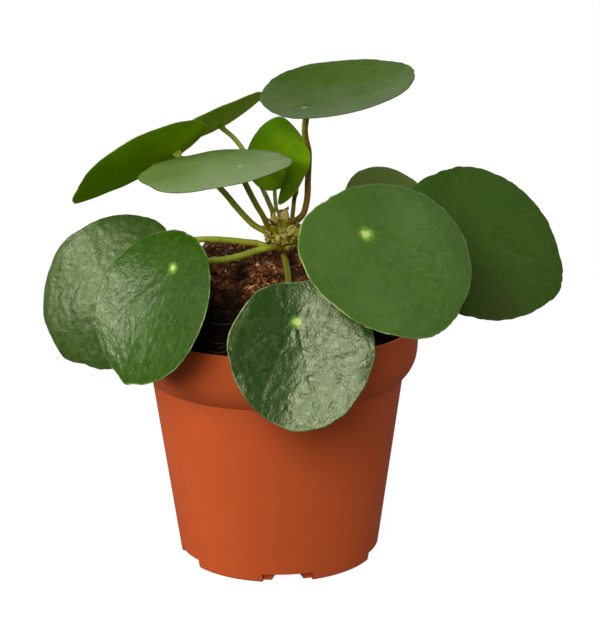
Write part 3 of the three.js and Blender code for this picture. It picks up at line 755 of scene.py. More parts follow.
def build_litter(chip_mat, fibre_mat, perlite_mat):
    rng = np.random.default_rng(41)
    chips = Parts()
    angle, t = scatter(rng, 4600, T_TOP, 0.97)
    P, N = soil_frame(angle, t)
    dry = dry_lit_share(P)
    for p, n, d in zip(P, N, dry):
        if math.hypot(p[0] - STEM_X, p[1]) < 5.5:
            continue
        # Chips are fewer and darker where the dry-and-lit share is low: partly wet peat, partly painted shade.
        if rng.uniform() > 0.22 + 0.78 * d:
            continue
        if p[2] + 0.264 * p[1] > 119.0 and -26 < p[0] < 0:
            continue
        tone = np.clip(rng.beta(0.95, 1.25) * (0.14 + 1.05 * d), 0, 1)
        size = rng.uniform(0.9, 2.6) if rng.uniform() < 0.86 else rng.uniform(2.4, 4.4)
        if tone > 0.78:
            size = 0.8 + 0.35 * size
        V, F = flake(rng, size, size * rng.uniform(0.22, 0.55), size * rng.uniform(0.10, 0.24) + 0.14)
        M = turn_to(n, rng.uniform(0, 6.28), rng.normal(0, 0.55), rng)
        V = V @ M.T + p + n * rng.uniform(-0.15, 0.5)
        chips.add(V, F, tone=tone)
    chip_obj = chips.object("bark_chips", chip_mat, smooth_faces=False)

    fibres = Parts()
    angle, t = scatter(rng, 1700, T_TOP - 0.02, 0.95)
    P, N = soil_frame(angle, t)
    dry = dry_lit_share(P)
    for p, n, d in zip(P, N, dry):
        if math.hypot(p[0] - STEM_X, p[1]) < 7:
            continue
        if p[2] + 0.264 * p[1] > 117.8 and -30 < p[0] < 6:
            continue
        length = rng.uniform(2, 7) if rng.uniform() < 0.88 else rng.uniform(7, 14)
        steps = 8
        radius = rng.uniform(0.05, 0.17)
        M = turn_to(n, rng.uniform(0, 6.28), 0.0, rng)
        s = np.linspace(-0.5, 0.5, steps)
        bow = rng.normal(0, 0.16) * length
        kink = rng.normal(0, 0.05) * length
        line = np.stack([
            s * length, bow * (4 * s * s - 1) + kink * np.sin(9 * s + rng.uniform(0, 6)),
            0.25 + 0.35 * rng.uniform() - 0.9 * s * s * length * 0.12 + 0.15 * np.sin(7 * s + rng.uniform(0, 6)),
        ], 1)
        line = line @ M.T + p
        # the angle of each point around the mound; the points are left where they are
        ang = np.arctan2(line[:, 0], -line[:, 1])
        # Fibres are darker where that share is low, partly as painted shade.
        tube_into(fibres, line, np.full(steps, radius) * (1 - 0.6 * np.abs(2 * s) ** 3), 4, tone=np.clip(rng.beta(1.4, 2.0) * (0.25 + 0.85 * d), 0, 1))
    # long threads lying along the dark flank
    for a0, t0, a1, t1 in ((-0.68, 0.42, -0.36, 0.44), (-0.66, 0.36, -0.42, 0.345), (-0.60, 0.30, -0.36, 0.325), (-0.52, 0.22, -0.30, 0.27), (0.30, 0.40, 0.55, 0.37)):
        q = np.linspace(0, 1, 24)
        line = soil_point(a0 + (a1 - a0) * q, t0 + (t1 - t0) * q + 0.004 * np.sin(9 * q))
        _, normals = soil_frame(a0 + (a1 - a0) * q, t0 + (t1 - t0) * q)
        line = line + normals * 0.25
        for _ in range(3):
            line[1:-1] = (line[:-2] + line[1:-1] * 2 + line[2:]) / 4
        tube_into(fibres, line, np.full(24, 0.09), 5, tone=0.55)
    fibre_obj = fibres.object("coir_fibres", fibre_mat)

    perlite = Parts()
    spots = [(-28.4, 28.0), (-23.6, 26.6), (-21.8, 25.4), (-20.0, 25.8), (-18.6, 24.6), (-4.4, -1.2), (24, 22), (15, 33), (-36, 8), (30, -14), (2, 37), (35, 6)]
    angle = np.array([math.atan2(x, -y) for x, y in spots])
    shares = np.linspace(T_TOP, 0.97, 200)
    radii, _ = soil_path(shares)
    t = np.array([np.interp(-math.hypot(x, y), -radii, shares) for x, y in spots])
    P, N = soil_frame(angle, t)
    bm = ico_sphere(2)
    for k, (p, n) in enumerate(zip(P, N)):
        size = rng.uniform(0.55, 1.0) if k != 5 else 0.4
        V = bm[0] * (1 + 0.22 * noise(bm[0] * 2 + k * 7.3, 1.0, 31) [:, None] + 0.1 * noise(bm[0] * 5 + k * 3.1, 1.0, 32)[:, None])
        V = V * size * rng.uniform(0.7, 1.15, 3)
        M = turn_to(n, rng.uniform(0, 6.28), rng.uniform(-0.5, 0.5), rng)
        perlite.add(V @ M.T + p + n * 0.25 * size, bm[1], tone=rng.uniform(0.2, 1))
    perlite_obj = perlite.object("perlite", perlite_mat)
    return chip_obj, fibre_obj, perlite_obj


def ico_sphere(level):
    g = (1 + 5 ** 0.5) / 2
    V = [(-1, g, 0), (1, g, 0), (-1, -g, 0), (1, -g, 0), (0, -1, g), (0, 1, g), (0, -1, -g), (0, 1, -g), (g, 0, -1), (g, 0, 1), (-g, 0, -1), (-g, 0, 1)]
    F = [(0, 11, 5), (0, 5, 1), (0, 1, 7), (0, 7, 10), (0, 10, 11), (1, 5, 9), (5, 11, 4), (11, 10, 2), (10, 7, 6), (7, 1, 8),
         (3, 9, 4), (3, 4, 2), (3, 2, 6), (3, 6, 8), (3, 8, 9), (4, 9, 5), (2, 4, 11), (6, 2, 10), (8, 6, 7), (9, 8, 1)]
    V = [np.array(v, float) / np.linalg.norm(v) for v in V]
    for _ in range(level):
        mid, G = {}, []
        def half(a, b):
            k = (min(a, b), max(a, b))
            if k not in mid:
                m = V[a] + V[b]
                V.append(m / np.linalg.norm(m))
                mid[k] = len(V) - 1
            return mid[k]
        for a, b, c in F:
            ab, bc, ca = half(a, b), half(b, c), half(c, a)
            G += [(a, ab, ca), (b, bc, ab), (c, ca, bc), (ab, bc, ca)]
        F = G
    return np.array(V), F


# ---------------------------------------------------------------- tubes
def spline(points, count):
    """A centripetal Catmull-Rom curve through points, at count even steps."""
    P = np.asarray(points, float)
    P = np.vstack([2 * P[0] - P[1], P, 2 * P[-1] - P[-2]])
    out = []
    for i in range(1, len(P) - 2):
        p0, p1, p2, p3 = P[i - 1:i + 3]
        t0 = 0.0
        t1 = t0 + max(np.linalg.norm(p1 - p0), 1e-6) ** 0.5
        t2 = t1 + max(np.linalg.norm(p2 - p1), 1e-6) ** 0.5
        t3 = t2 + max(np.linalg.norm(p3 - p2), 1e-6) ** 0.5
        t = np.linspace(t1, t2, 24, endpoint=False)[:, None]
        a1 = (t1 - t) / (t1 - t0) * p0 + (t - t0) / (t1 - t0) * p1
        a2 = (t2 - t) / (t2 - t1) * p1 + (t - t1) / (t2 - t1) * p2
        a3 = (t3 - t) / (t3 - t2) * p2 + (t - t2) / (t3 - t2) * p3
        b1 = (t2 - t) / (t2 - t0) * a1 + (t - t0) / (t2 - t0) * a2
        b2 = (t3 - t) / (t3 - t1) * a2 + (t - t1) / (t3 - t1) * a3
        out.append((t2 - t) / (t2 - t1) * b1 + (t - t1) / (t2 - t1) * b2)
    out = np.vstack(out + [P[-2][None]])
    s = np.concatenate([[0], np.cumsum(np.linalg.norm(np.diff(out, axis=0), axis=1))])
    u = np.linspace(0, s[-1], count)
    return np.stack([np.interp(u, s, out[:, k]) for k in range(3)], 1), s[-1]


def tube(line, radius, sides, bumps=None):
    line = np.asarray(line, float)
    n = len(line)
    tan = np.gradient(line, axis=0)
    tan /= np.linalg.norm(tan, axis=1)[:, None] + 1e-12
    ref = np.array([0.0, 0.0, 1.0]) if abs(tan[0][2]) < 0.9 else np.array([1.0, 0.0, 0.0])
    u = np.cross(ref, tan[0])
    u /= np.linalg.norm(u)
    rings = []
    for i in range(n):
        u = u - tan[i] * (u @ tan[i])
        u /= np.linalg.norm(u)
        v = np.cross(tan[i], u)
        a = np.arange(sides) * 2 * math.pi / sides
        r = radius[i] * (1 if bumps is None else bumps[i])
        rings.append(line[i] + (np.cos(a)[:, None] * u + np.sin(a)[:, None] * v) * np.reshape(r, (-1, 1)))
    V = np.vstack(rings + [line[:1], line[-1:]])
    F = []
    for i in range(n - 1):
        for k in range(sides):
            m = (k + 1) % sides
            F.append((i * sides + k, i * sides + m, (i + 1) * sides + m, (i + 1) * sides + k))
    for k in range(sides):
        m = (k + 1) % sides
        F.append((m, k, n * sides))
        F.append(((n - 1) * sides + k, (n - 1) * sides + m, n * sides + 1))
    return V, F


def tube_into(parts, line, radius, sides, **attributes):
    V, F = tube(line, radius, sides)
    parts.add(V, F, **attributes)


# ---------------------------------------------------------------- leaves
# centre, normal, radius, dome, saddle, spot and outline lobes as in the model's
# own leaf nodes; fold bends the blade along its midrib; wave is the size of the
# slow undulation in mm; pebble scales the fine relief.
LEAVES = [
    dict(id="01", centre=(22.98, 4.01, 171.9), normal=(-0.17, -0.2103, 0.9627), radius=28.60, dome=-0.1121,
         saddle=(0.0005, -0.0063), spot=(-0.438, -0.308), wave=0.35, pebble=0.5, groove=0.3, scallop=0.20,
         lobes=(-0.011, -0.0303, 0.0162, 0.0075, -0.0075, 0.003, -0.0021, 0.0056, 0.0027, 0.0017, -0.0034, 0.003, 0.0008, 0.0035)),
    dict(id="02", centre=(-27.08, 41.99, 153.26), normal=(-0.4286, 0.2504, 0.8681), radius=26.11, dome=-0.1013,
         saddle=(-0.0072, -0.0136), spot=(-0.299, 0.116), wave=0.3, pebble=0.5,
         lobes=(-0.0037, -0.0022, 0.0118, -0.001, 0.0003, 0.0065, -0.0021, 0.0018, -0.0028, -0.0012, -0.0001, -0.0007, -0.0002, -0.0007)),
    # leaf_03: the two pale marks are painted light; the two dull marks darken and brown its lower edge.
    dict(id="03", centre=(-50.55, 17.98, 143.88), normal=(-0.4647, 0.3339, 0.8201), radius=29.21, dome=-0.0738,
         saddle=(-0.0051, 0.0211), spot=(-0.520, 0.222), wave=0.35, pebble=0.5, marks_with_painted_light=((-0.80, 0.22, 0.36, 0.60), (-0.38, 0.55, 0.42, 0.80), (-0.38, -0.98, 0.22, -0.5), (0.1, -1.0, 0.2, -0.4)),
         lobes=(-0.0333, 0.0424, 0.0088, 0.0142, -0.0006, 0.0199, 0.006, -0.0027, 0.0013, 0.0043, -0.0029, -0.0048, 0.0074, 0.007)),
    dict(id="04", centre=(-21.08, -21.98, 149.47), normal=(-0.1006, -0.0672, 0.9927), radius=27.30, dome=-0.0146,
         saddle=(0.0030, -0.0199), spot=(0.318, 0.026), wave=0.3, pebble=0.5, groove=0.4,
         lobes=(-0.0213, 0.0066, 0.0008, 0.0034, -0.0009, -0.0181, 0.0007, 0.0021, 0.0069, -0.0005, -0.0067, -0.0099, 0.0037, 0.0007)),
    # leaf_05: the pale marks low down and to the right are painted light, the lower one where leaf_04's shadow falls;
    # the small one up the middle is a paler band; the dull one darkens the left part.
    dict(id="05", centre=(1.12, 16.02, 148.16), normal=(-0.5602, -0.8034, 0.202), radius=13.28, dome=-0.1208,
         saddle=(-0.0176, 0.0251), spot=(0.047, -0.528), wave=0.2, pebble=0.35, groove=0.5, marks_with_painted_light=((-0.20, -0.80, 0.55, 1.0), (0.45, 0.10, 0.42, 0.22), (0.02, 0.42, 0.26, 0.10), (-0.75, 0.45, 0.35, -0.4)),
         lobes=(-0.0048, 0.0224, 0.0157, -0.022, 0.0141, -0.0013, -0.0038, 0.0083, -0.0062, 0.0052, -0.0018, -0.0022, 0.001, -0.0049)),
    # leaf_06: the three pale marks are painted light; the two dull marks brown its right edge.
    dict(id="06", centre=(7.63, -2.98, 144.3), normal=(-0.8199, -0.4856, 0.3034), radius=9.02, dome=-0.1670,
         saddle=(-0.0538, -0.1020), spot=(0.189, -0.511), wave=0.15, pebble=0.35, marks_with_painted_light=((-0.05, 0.45, 0.45, 0.10), (0.50, 0.50, 0.30, 0.25), (0.10, -0.45, 0.60, 0.95), (0.66, 0.02, 0.20, -0.8), (0.55, -0.35, 0.25, -0.6)),
         lobes=(-0.3043, 0.0899, 0.0043, 0.0242, -0.0071, 0.0018, -0.0034, -0.003, -0.0034, 0.0029, 0.0039, 0.0009, 0.0006, -0.0027)),
    dict(id="07", centre=(42.53, 42.0, 127.05), normal=(0.1967, 0.8398, 0.506), radius=15.69, dome=0.0480,
         saddle=(-0.0008, 0.0125), spot=(-0.100, 0.100), wave=0.25, pebble=0.5, scallop=0.35,
         lobes=(0.0028, 0.0066, -0.0094, -0.004, 0.0044, -0.0066, 0.0024, 0.0027, -0.0023, -0.0019, 0.0044, -0.0013, 0.0008, 0.0049)),
    dict(id="08", centre=(-62.31, -6.06, 102.9), normal=(-0.5124, -0.7241, 0.4617), radius=29.66, dome=0.0273,
         saddle=(0.0261, -0.0387), spot=(0.120, 0.280), wave=0.38, coarse=0.06, pebble=1.05,
         bends=((-68, 0.0, 0.22), (60, 0.40, 0.18), (-160, 0.10, 0.12)), groove=0.25, fine=0.10, nudges=((-112, 9, 0.7), (-97, 7, -0.2)),
         lobes=(0.0032, 0.0208, -0.016, 0.002, -0.0053, -0.0015, 0.009, 0.0015, 0.0005, -0.0057, -0.0013, -0.0042, -0.0091, 0.0034)),
    dict(id="09", centre=(-43.53, -40.01, 105.5), normal=(-0.6599, -0.6329, 0.4049), radius=27.91, dome=0.0230,
         saddle=(0.0349, -0.0120), spot=(0.166, 0.511), wave=0.28, pebble=1.0, groove=0.4, fine=0.08, coarse=0.07,
         curl=(0.115, -0.05, 0.0), tilt=(0.05, -0.08), bends=((90, 0.35, 0.12),), nudges=((-97, 8, 1.3), (-78, 9, -0.3)),
         lobes=(0.0123, 0.0024, -0.0142, 0.0025, 0.01, -0.0026, -0.0037, 0.0033, -0.0024, -0.0009, 0.0018, 0.0032, -0.0001, 0.0009)),
    dict(id="10", centre=(8.15, -65.96, 95.09), normal=(0.1181, -0.8632, 0.4908), radius=25.25, dome=0.0299,
         saddle=(0.0004, -0.0055), spot=(-0.035, 0.422), wave=0.30, coarse=0.045, pebble=1.15, fine=0.075, fold=0.19, fold_turn=-0.23, fold_soft=5.5, tilt=(0.08, 0.19), nudges=((-126, 14, 0.5),),
         bends=((-80, 0.10, -0.11),),
         lobes=(-0.03, 0.0168, -0.0029, 0.0264, 0.0081, -0.0035, 0.0043, -0.0067, 0.0043, -0.0025, 0.0026, 0.0115, -0.0015, -0.003)),
    # leaf_11: the pale mark at the upper right is a painted sheen and the other two pale marks are painted light; the
    # two dull marks are painted shade.
    dict(id="11", centre=(37.96, -58.03, 125.45), normal=(0.307, -0.6976, 0.6474), radius=30.16, dome=0.0247,
         saddle=(-0.0052, 0.0463), spot=(-0.183, 0.326), wave=0.45, pebble=1.25, fine=0.085, scallop=0.45, lit_rim=(140, 262), bends=((22, 0.35, 0.17),), marks_with_painted_light=((0.50, 0.42, 0.38, 0.35), (-0.31, -0.72, 0.35, 0.40), (-0.60, 0.30, 0.35, 0.25), (0.0, 0.78, 0.40, -0.45), (0.15, -0.70, 0.25, -0.4)),
         lobes=(0.0298, -0.0056, -0.0087, 0.0234, 0.0044, 0.0003, 0.0048, 0.0001, -0.0019, -0.0037, -0.0012, -0.0035, -0.0006, 0.0025)),
    # leaf_12: the pale marks are painted light and the dull marks are painted shade on its left and lower parts.
    dict(id="12", centre=(77.74, 7.92, 115.88), normal=(0.2911, -0.775, 0.561), radius=30.96, dome=0.0259,
         saddle=(-0.0232, -0.0296), spot=(-0.340, 0.120), wave=0.45, pebble=0.8, scallop=0.50, marks_with_painted_light=((0.35, 0.75, 0.50, 0.6), (0.85, 0.10, 0.35, 0.4), (-0.62, -0.50, 0.50, -0.9), (-0.05, -0.90, 0.45, -0.9)),
         lobes=(-0.013, -0.0432, 0.007, -0.0021, -0.0177, -0.0086, -0.0033, 0.0, -0.0005, 0.0105, -0.0084, -0.0026, 0.0055, 0.0047)),
]


def disc_grid(n):
    """An even grid of n by n cells bent onto the unit disc."""
    a, b = np.meshgrid(np.linspace(-1, 1, n + 1), np.linspace(-1, 1, n + 1))
    a, b = a.ravel(), b.ravel()
    big = np.abs(a) > np.abs(b)
    safe_a, safe_b = np.where(a == 0, 1, a), np.where(b == 0, 1, b)
    r = np.where(big, a, b)
    phi = np.where(big, math.pi / 4 * b / safe_a, math.pi / 2 - math.pi / 4 * a / safe_b)
    phi = np.where((a == 0) & (b == 0), 0, phi)
    x, y = r * np.cos(phi), r * np.sin(phi)
    idx = np.arange((n + 1) ** 2).reshape(n + 1, n + 1)
    quads = np.stack([idx[:-1, :-1], idx[:-1, 1:], idx[1:, 1:], idx[1:, :-1]], -1).reshape(-1, 4)
    rim = np.concatenate([idx[0, :-1], idx[:-1, -1], idx[-1, :0:-1], idx[:0:-1, 0]])
    return x, y, quads, rim


def frame_of(normal):
    n = np.array(normal, float)
    n /= np.linalg.norm(n)
    e = np.array([0.0, 0, 1]) if abs(n[2]) < 0.9 else np.array([0.0, 1, 0])
    v = e - n * (e @ n)
    v /= np.linalg.norm(v)
    return np.cross(v, n), v, n


def outline(leaf, angle):
    r = np.ones_like(angle)
    for k in range(2, 9):
        r = r + leaf["lobes"][2 * (k - 2)] * np.cos(k * angle) + leaf["lobes"][2 * (k - 2) + 1] * np.sin(k * angle)
    return r * leaf["radius"]


def vein_lines(leaf, rng):
    """Polylines in the blade's own plane: (points, width, strength)."""
    sx, sy = np.array(leaf["spot"]) * leaf["radius"]
    apex = math.atan2(-sy, -sx) if math.hypot(sx, sy) > 2 else -math.pi / 2
    lines = []

    def reach(angle):
        # distance from the spot to the rim along an angle
        for d in np.linspace(1, 2 * leaf["radius"], 160):
            x, y = sx + d * math.cos(angle), sy + d * math.sin(angle)
            if math.hypot(x, y) > outline(leaf, np.array([math.atan2(y, x)]))[0]:
                return d
        return 2 * leaf["radius"]

    for k, offset in enumerate((0, 33, -35, 68, -72, 108, -112, 150, -154)):
        a0 = apex + math.radians(offset + rng.uniform(-5, 5))
        length = reach(a0) * (0.93 if offset == 0 else 0.88)
        bend = -math.radians(offset) * 0.22 + rng.uniform(-0.06, 0.06)
        s = np.linspace(0, 1, 22)
        ang = a0 + bend * s ** 1.5
        step = length / 21
        pts = np.cumsum(np.stack([np.cos(ang), np.sin(ang)], 1) * step, 0) - step * np.array([math.cos(a0), math.sin(a0)]) + (sx, sy)
        strength = 1.0 if offset == 0 else (0.8 if abs(offset) < 50 else 0.6)
        lines.append((pts, 0.34, strength))
        count = 5 if offset == 0 else 4
        for j in range(count):
            f = 0.22 + 0.62 * (j + rng.uniform(-0.25, 0.25)) / count
            i = int(f * 21)
            for turn in (1, -1):
                b0 = ang[i] + turn * math.radians(rng.uniform(38, 56))
                blen = length * rng.uniform(0.16, 0.32) * (1.1 - 0.5 * f)
                q = np.linspace(0, 1, 9)
                bang = b0 - turn * 0.5 * q
                bp = np.cumsum(np.stack([np.cos(bang), np.sin(bang)], 1) * blen / 8, 0) + pts[i]
                lines.append((bp, 0.22, 0.42 * strength))
    return lines, apex


def vein_field(x, y, lines):
    field = np.zeros(len(x))
    p = np.stack([x, y], 1)
    for pts, width, strength in lines:
        a, b = pts[:-1], pts[1:]
        best = np.full(len(x), 1e9)
        for k in range(len(a)):
            d = b[k] - a[k]
            t = np.clip(((p - a[k]) @ d) / (d @ d + 1e-12), 0, 1)
            q = a[k] + t[:, None] * d
            best = np.minimum(best, ((p - q) ** 2).sum(1))
        best = np.sqrt(best)
        field = np.maximum(field, strength * np.exp(-((best / width) ** 2)))
    return field


FORWARD = np.array([0.0, -0.967, 0.256])  # the plant's front, a little upwards


def blade(leaf, x, y):
    """The lift of the blade's plain curved sheet along its normal."""
    R = leaf["radius"]
    return (-leaf["dome"] * (x * x + y * y) + leaf["saddle"][0] * (x * x - y * y) + 2 * leaf["saddle"][1] * x * y) / R


def middle(leaf, x, y):
    """The blade's middle surface with its fold, bends and slow waves."""
    R = leaf["radius"]
    seed = 100 + int(leaf["id"]) * 7
    scale = min(1.0, R / 26)
    u, v, n = frame_of(leaf["normal"])
    angle = np.arctan2(y, x)
    s = np.hypot(x, y) / outline(leaf, angle)
    plane = np.stack([x, y, np.full(len(x), 13.7 * seed)], 1)
    around = np.stack([np.cos(angle), np.sin(angle), np.full(len(angle), 0.3 * seed)], 1)
    sheet = np.array(leaf["centre"]) + x[:, None] * u + y[:, None] * v + blade(leaf, x, y)[:, None] * n
    slow = leaf["wave"] * (0.8 * noise(plane, 15 * scale + 3, seed + 3) + 0.45 * noise(plane, 8 * scale + 1, seed + 4))
    slow = slow + leaf["wave"] * 0.75 * smooth(0.72, 1.0, s) * noise(around * R, 8.0, seed + 5)
    sx, sy = np.array(leaf["spot"]) * R
    if leaf.get("fold"):
        apex = math.atan2(-sy, -sx) + leaf.get("fold_turn", 0.0)
        across = -(x - sx) * math.sin(apex) + (y - sy) * math.cos(apex)
        soft = leaf.get("fold_soft", 4.0)
        slow = slow + leaf["fold"] * (np.sqrt(across ** 2 + soft ** 2) - 0.42 * R)
    if leaf.get("tilt"):
        slow = slow + leaf["tilt"][0] * x + leaf["tilt"][1] * y
    if leaf.get("curl"):
        a, b, c = leaf["curl"]
        slow = slow + (a * (x * x - 0.2 * R * R) + b * (y * y - 0.2 * R * R) + c * x * y) / R
    for toward, start, amount in leaf.get("bends", ()):
        a = math.radians(toward)
        d = np.maximum(0, x * math.cos(a) + y * math.sin(a) - start * R)
        slow = slow - amount * d * d / R
    dimple = -0.25 * np.exp(-((np.hypot(x - sx, y - sy) / 2.0) ** 2))
    slide = FORWARD / (FORWARD @ n) if FORWARD @ n > 0.42 else n
    return sheet + slow[:, None] * slide + dimple[:, None] * n


def build_leaf(leaf, cells, material):
    seed = 100 + int(leaf["id"]) * 7
    rng = np.random.default_rng(seed)
    ux, uy, quads, rim = disc_grid(cells)
    angle, s = np.arctan2(uy, ux), np.hypot(ux, uy)
    around = np.stack([np.cos(angle), np.sin(angle), np.full(len(angle), 0.3 * seed)], 1)
    R = leaf["radius"]
    scale = min(1.0, R / 26)
    ragged = (0.26 * noise(around * R, 6.5, seed) + 0.17 * noise(around * R, 2.6, seed + 1) + 0.07 * noise(around * R, 1.3, seed + 2)) * scale
    ragged = ragged + leaf.get("scallop", 0.0) * (np.abs(noise(around * R, 3.3, seed + 12)) - 0.28)
    for toward, width, amount in leaf.get("nudges", ()):
        off = (np.degrees(angle) - toward + 180) % 360 - 180
        ragged = ragged + amount * np.exp(-((off / width) ** 2))
    reach = outline(leaf, angle)
    r = reach * s + ragged * s ** 8
    x, y = r * np.cos(angle), r * np.sin(angle)
    u, v, n = frame_of(leaf["normal"])
    C = np.array(leaf["centre"])
    plane = np.stack([x, y, np.full(len(x), 13.7 * seed)], 1)
    lines, apex = vein_lines(leaf, rng)
    vein = vein_field(x, y, lines)
    wide = vein_field(x, y, [(p, 3.2 * w, st) for p, w, st in lines if st >= 0.55])
    sx, sy = np.array(leaf["spot"]) * R
    spotd = np.hypot(x - sx, y - sy)
    rimd = reach * (1 - s)
    inside = smooth(0.0, 1.6, rimd) * smooth(0.4, 2.4, spotd)
    k = leaf["pebble"]
    warp = plane + 0.9 * np.stack([noise(plane, 4, seed + 8), noise(plane, 4, seed + 9), np.zeros(len(x))], 1)
    ridged = 1 - 2 * np.abs(noise(warp, 3.1, seed + 6))
    pebble = 0.030 * ridged + leaf.get("fine", 0.046) * noise(warp, 1.55, seed + 7) + 0.045 * noise(warp, 2.3, seed + 11) + leaf.get("coarse", 0.09) * noise(plane, 4.6, seed + 10)
    top = inside * (k * pebble - leaf.get("groove", 1.0) * (0.05 * vein + 0.09 * wide))
    bottom = inside * (0.35 * k * pebble - 0.16 * vein - 0.06 * wide)
    half = 0.12 + 0.18 * smooth(0.0, 3.0, rimd)
    mid = middle(leaf, x, y)
    upper = mid + (half + top)[:, None] * n
    lower = mid - (half - bottom)[:, None] * n
    edge = mid[rim] + 0.10 * ((mid[rim] - C) / np.linalg.norm(mid[rim] - C, axis=1)[:, None])
    nv = len(x)
    V = np.vstack([upper, lower, edge])
    quads = quads.astype(int)
    F = [tuple(q) for q in quads.tolist()] + [tuple(q[::-1]) for q in (quads + nv).tolist()]
    m = len(rim)
    for i in range(m):
        j = (i + 1) % m
        F.append((int(rim[j]), int(rim[i]), 2 * nv + i, 2 * nv + j))
        F.append((2 * nv + j, 2 * nv + i, int(rim[i]) + nv, int(rim[j]) + nv))
    # faces out: the upper face's normal is n
    q = quads[len(quads) // 2]
    test = np.cross(upper[q[1]] - upper[q[0]], upper[q[2]] - upper[q[0]]) @ n
    if test < 0:
        F = [f[::-1] for f in F]
    join = lambda a: np.concatenate([a, a, a[rim]])
    pale_and_painted_light, dull_and_painted_shade = np.zeros(nv), np.zeros(nv)
    # Each mark is a soft patch (x, y, size, amount): a positive amount paints it paler, a negative one duller; many of
    # them are painted light and painted shade.
    for mx, my, size, amount in leaf.get("marks_with_painted_light", ()):
        d = np.hypot(x / R - mx, y / R - my) * (1 + 0.22 * noise(plane, 7, seed + 13))
        patch = abs(amount) * np.exp(-((d / size) ** 2))
        if amount > 0:
            pale_and_painted_light = np.maximum(pale_and_painted_light, patch)
        else:
            dull_and_painted_shade = np.maximum(dull_and_painted_shade, patch)
    # The lit_rim span of angles gets the brighter rim colour, a painted highlight.
    low, high = leaf.get("lit_rim", (0, 0))
    turn = np.degrees(angle) % 360
    rimlit = smooth(low, low + 12, turn) * smooth(high, high - 12, turn) if high > low else np.zeros(nv)
    attributes = {
        "rimd": np.concatenate([rimd, rimd, np.zeros(m)]),
        "spotd": join(spotd),
        "vein": join(vein),
        "pale_and_painted_light": join(pale_and_painted_light),
        "dull_and_painted_shade": join(dull_and_painted_shade),
        "rimlit": join(rimlit),
        "side": np.concatenate([np.ones(nv), np.zeros(nv), np.full(m, 0.5)]),
    }
    return build(f"blade_{leaf['id']}", V, F, attributes, material=material)


def spot_point(leaf):
    R = leaf["radius"]
    x, y = np.array(leaf["spot"])[:, None] * R
    e = 0.5
    p = middle(leaf, np.concatenate([x, x + e, x]), np.concatenate([y, y, y + e]))
    n = np.cross(p[1] - p[0], p[2] - p[0])
    n /= np.linalg.norm(n)
    return p[0], n * np.sign(n @ frame_of(leaf["normal"])[2])
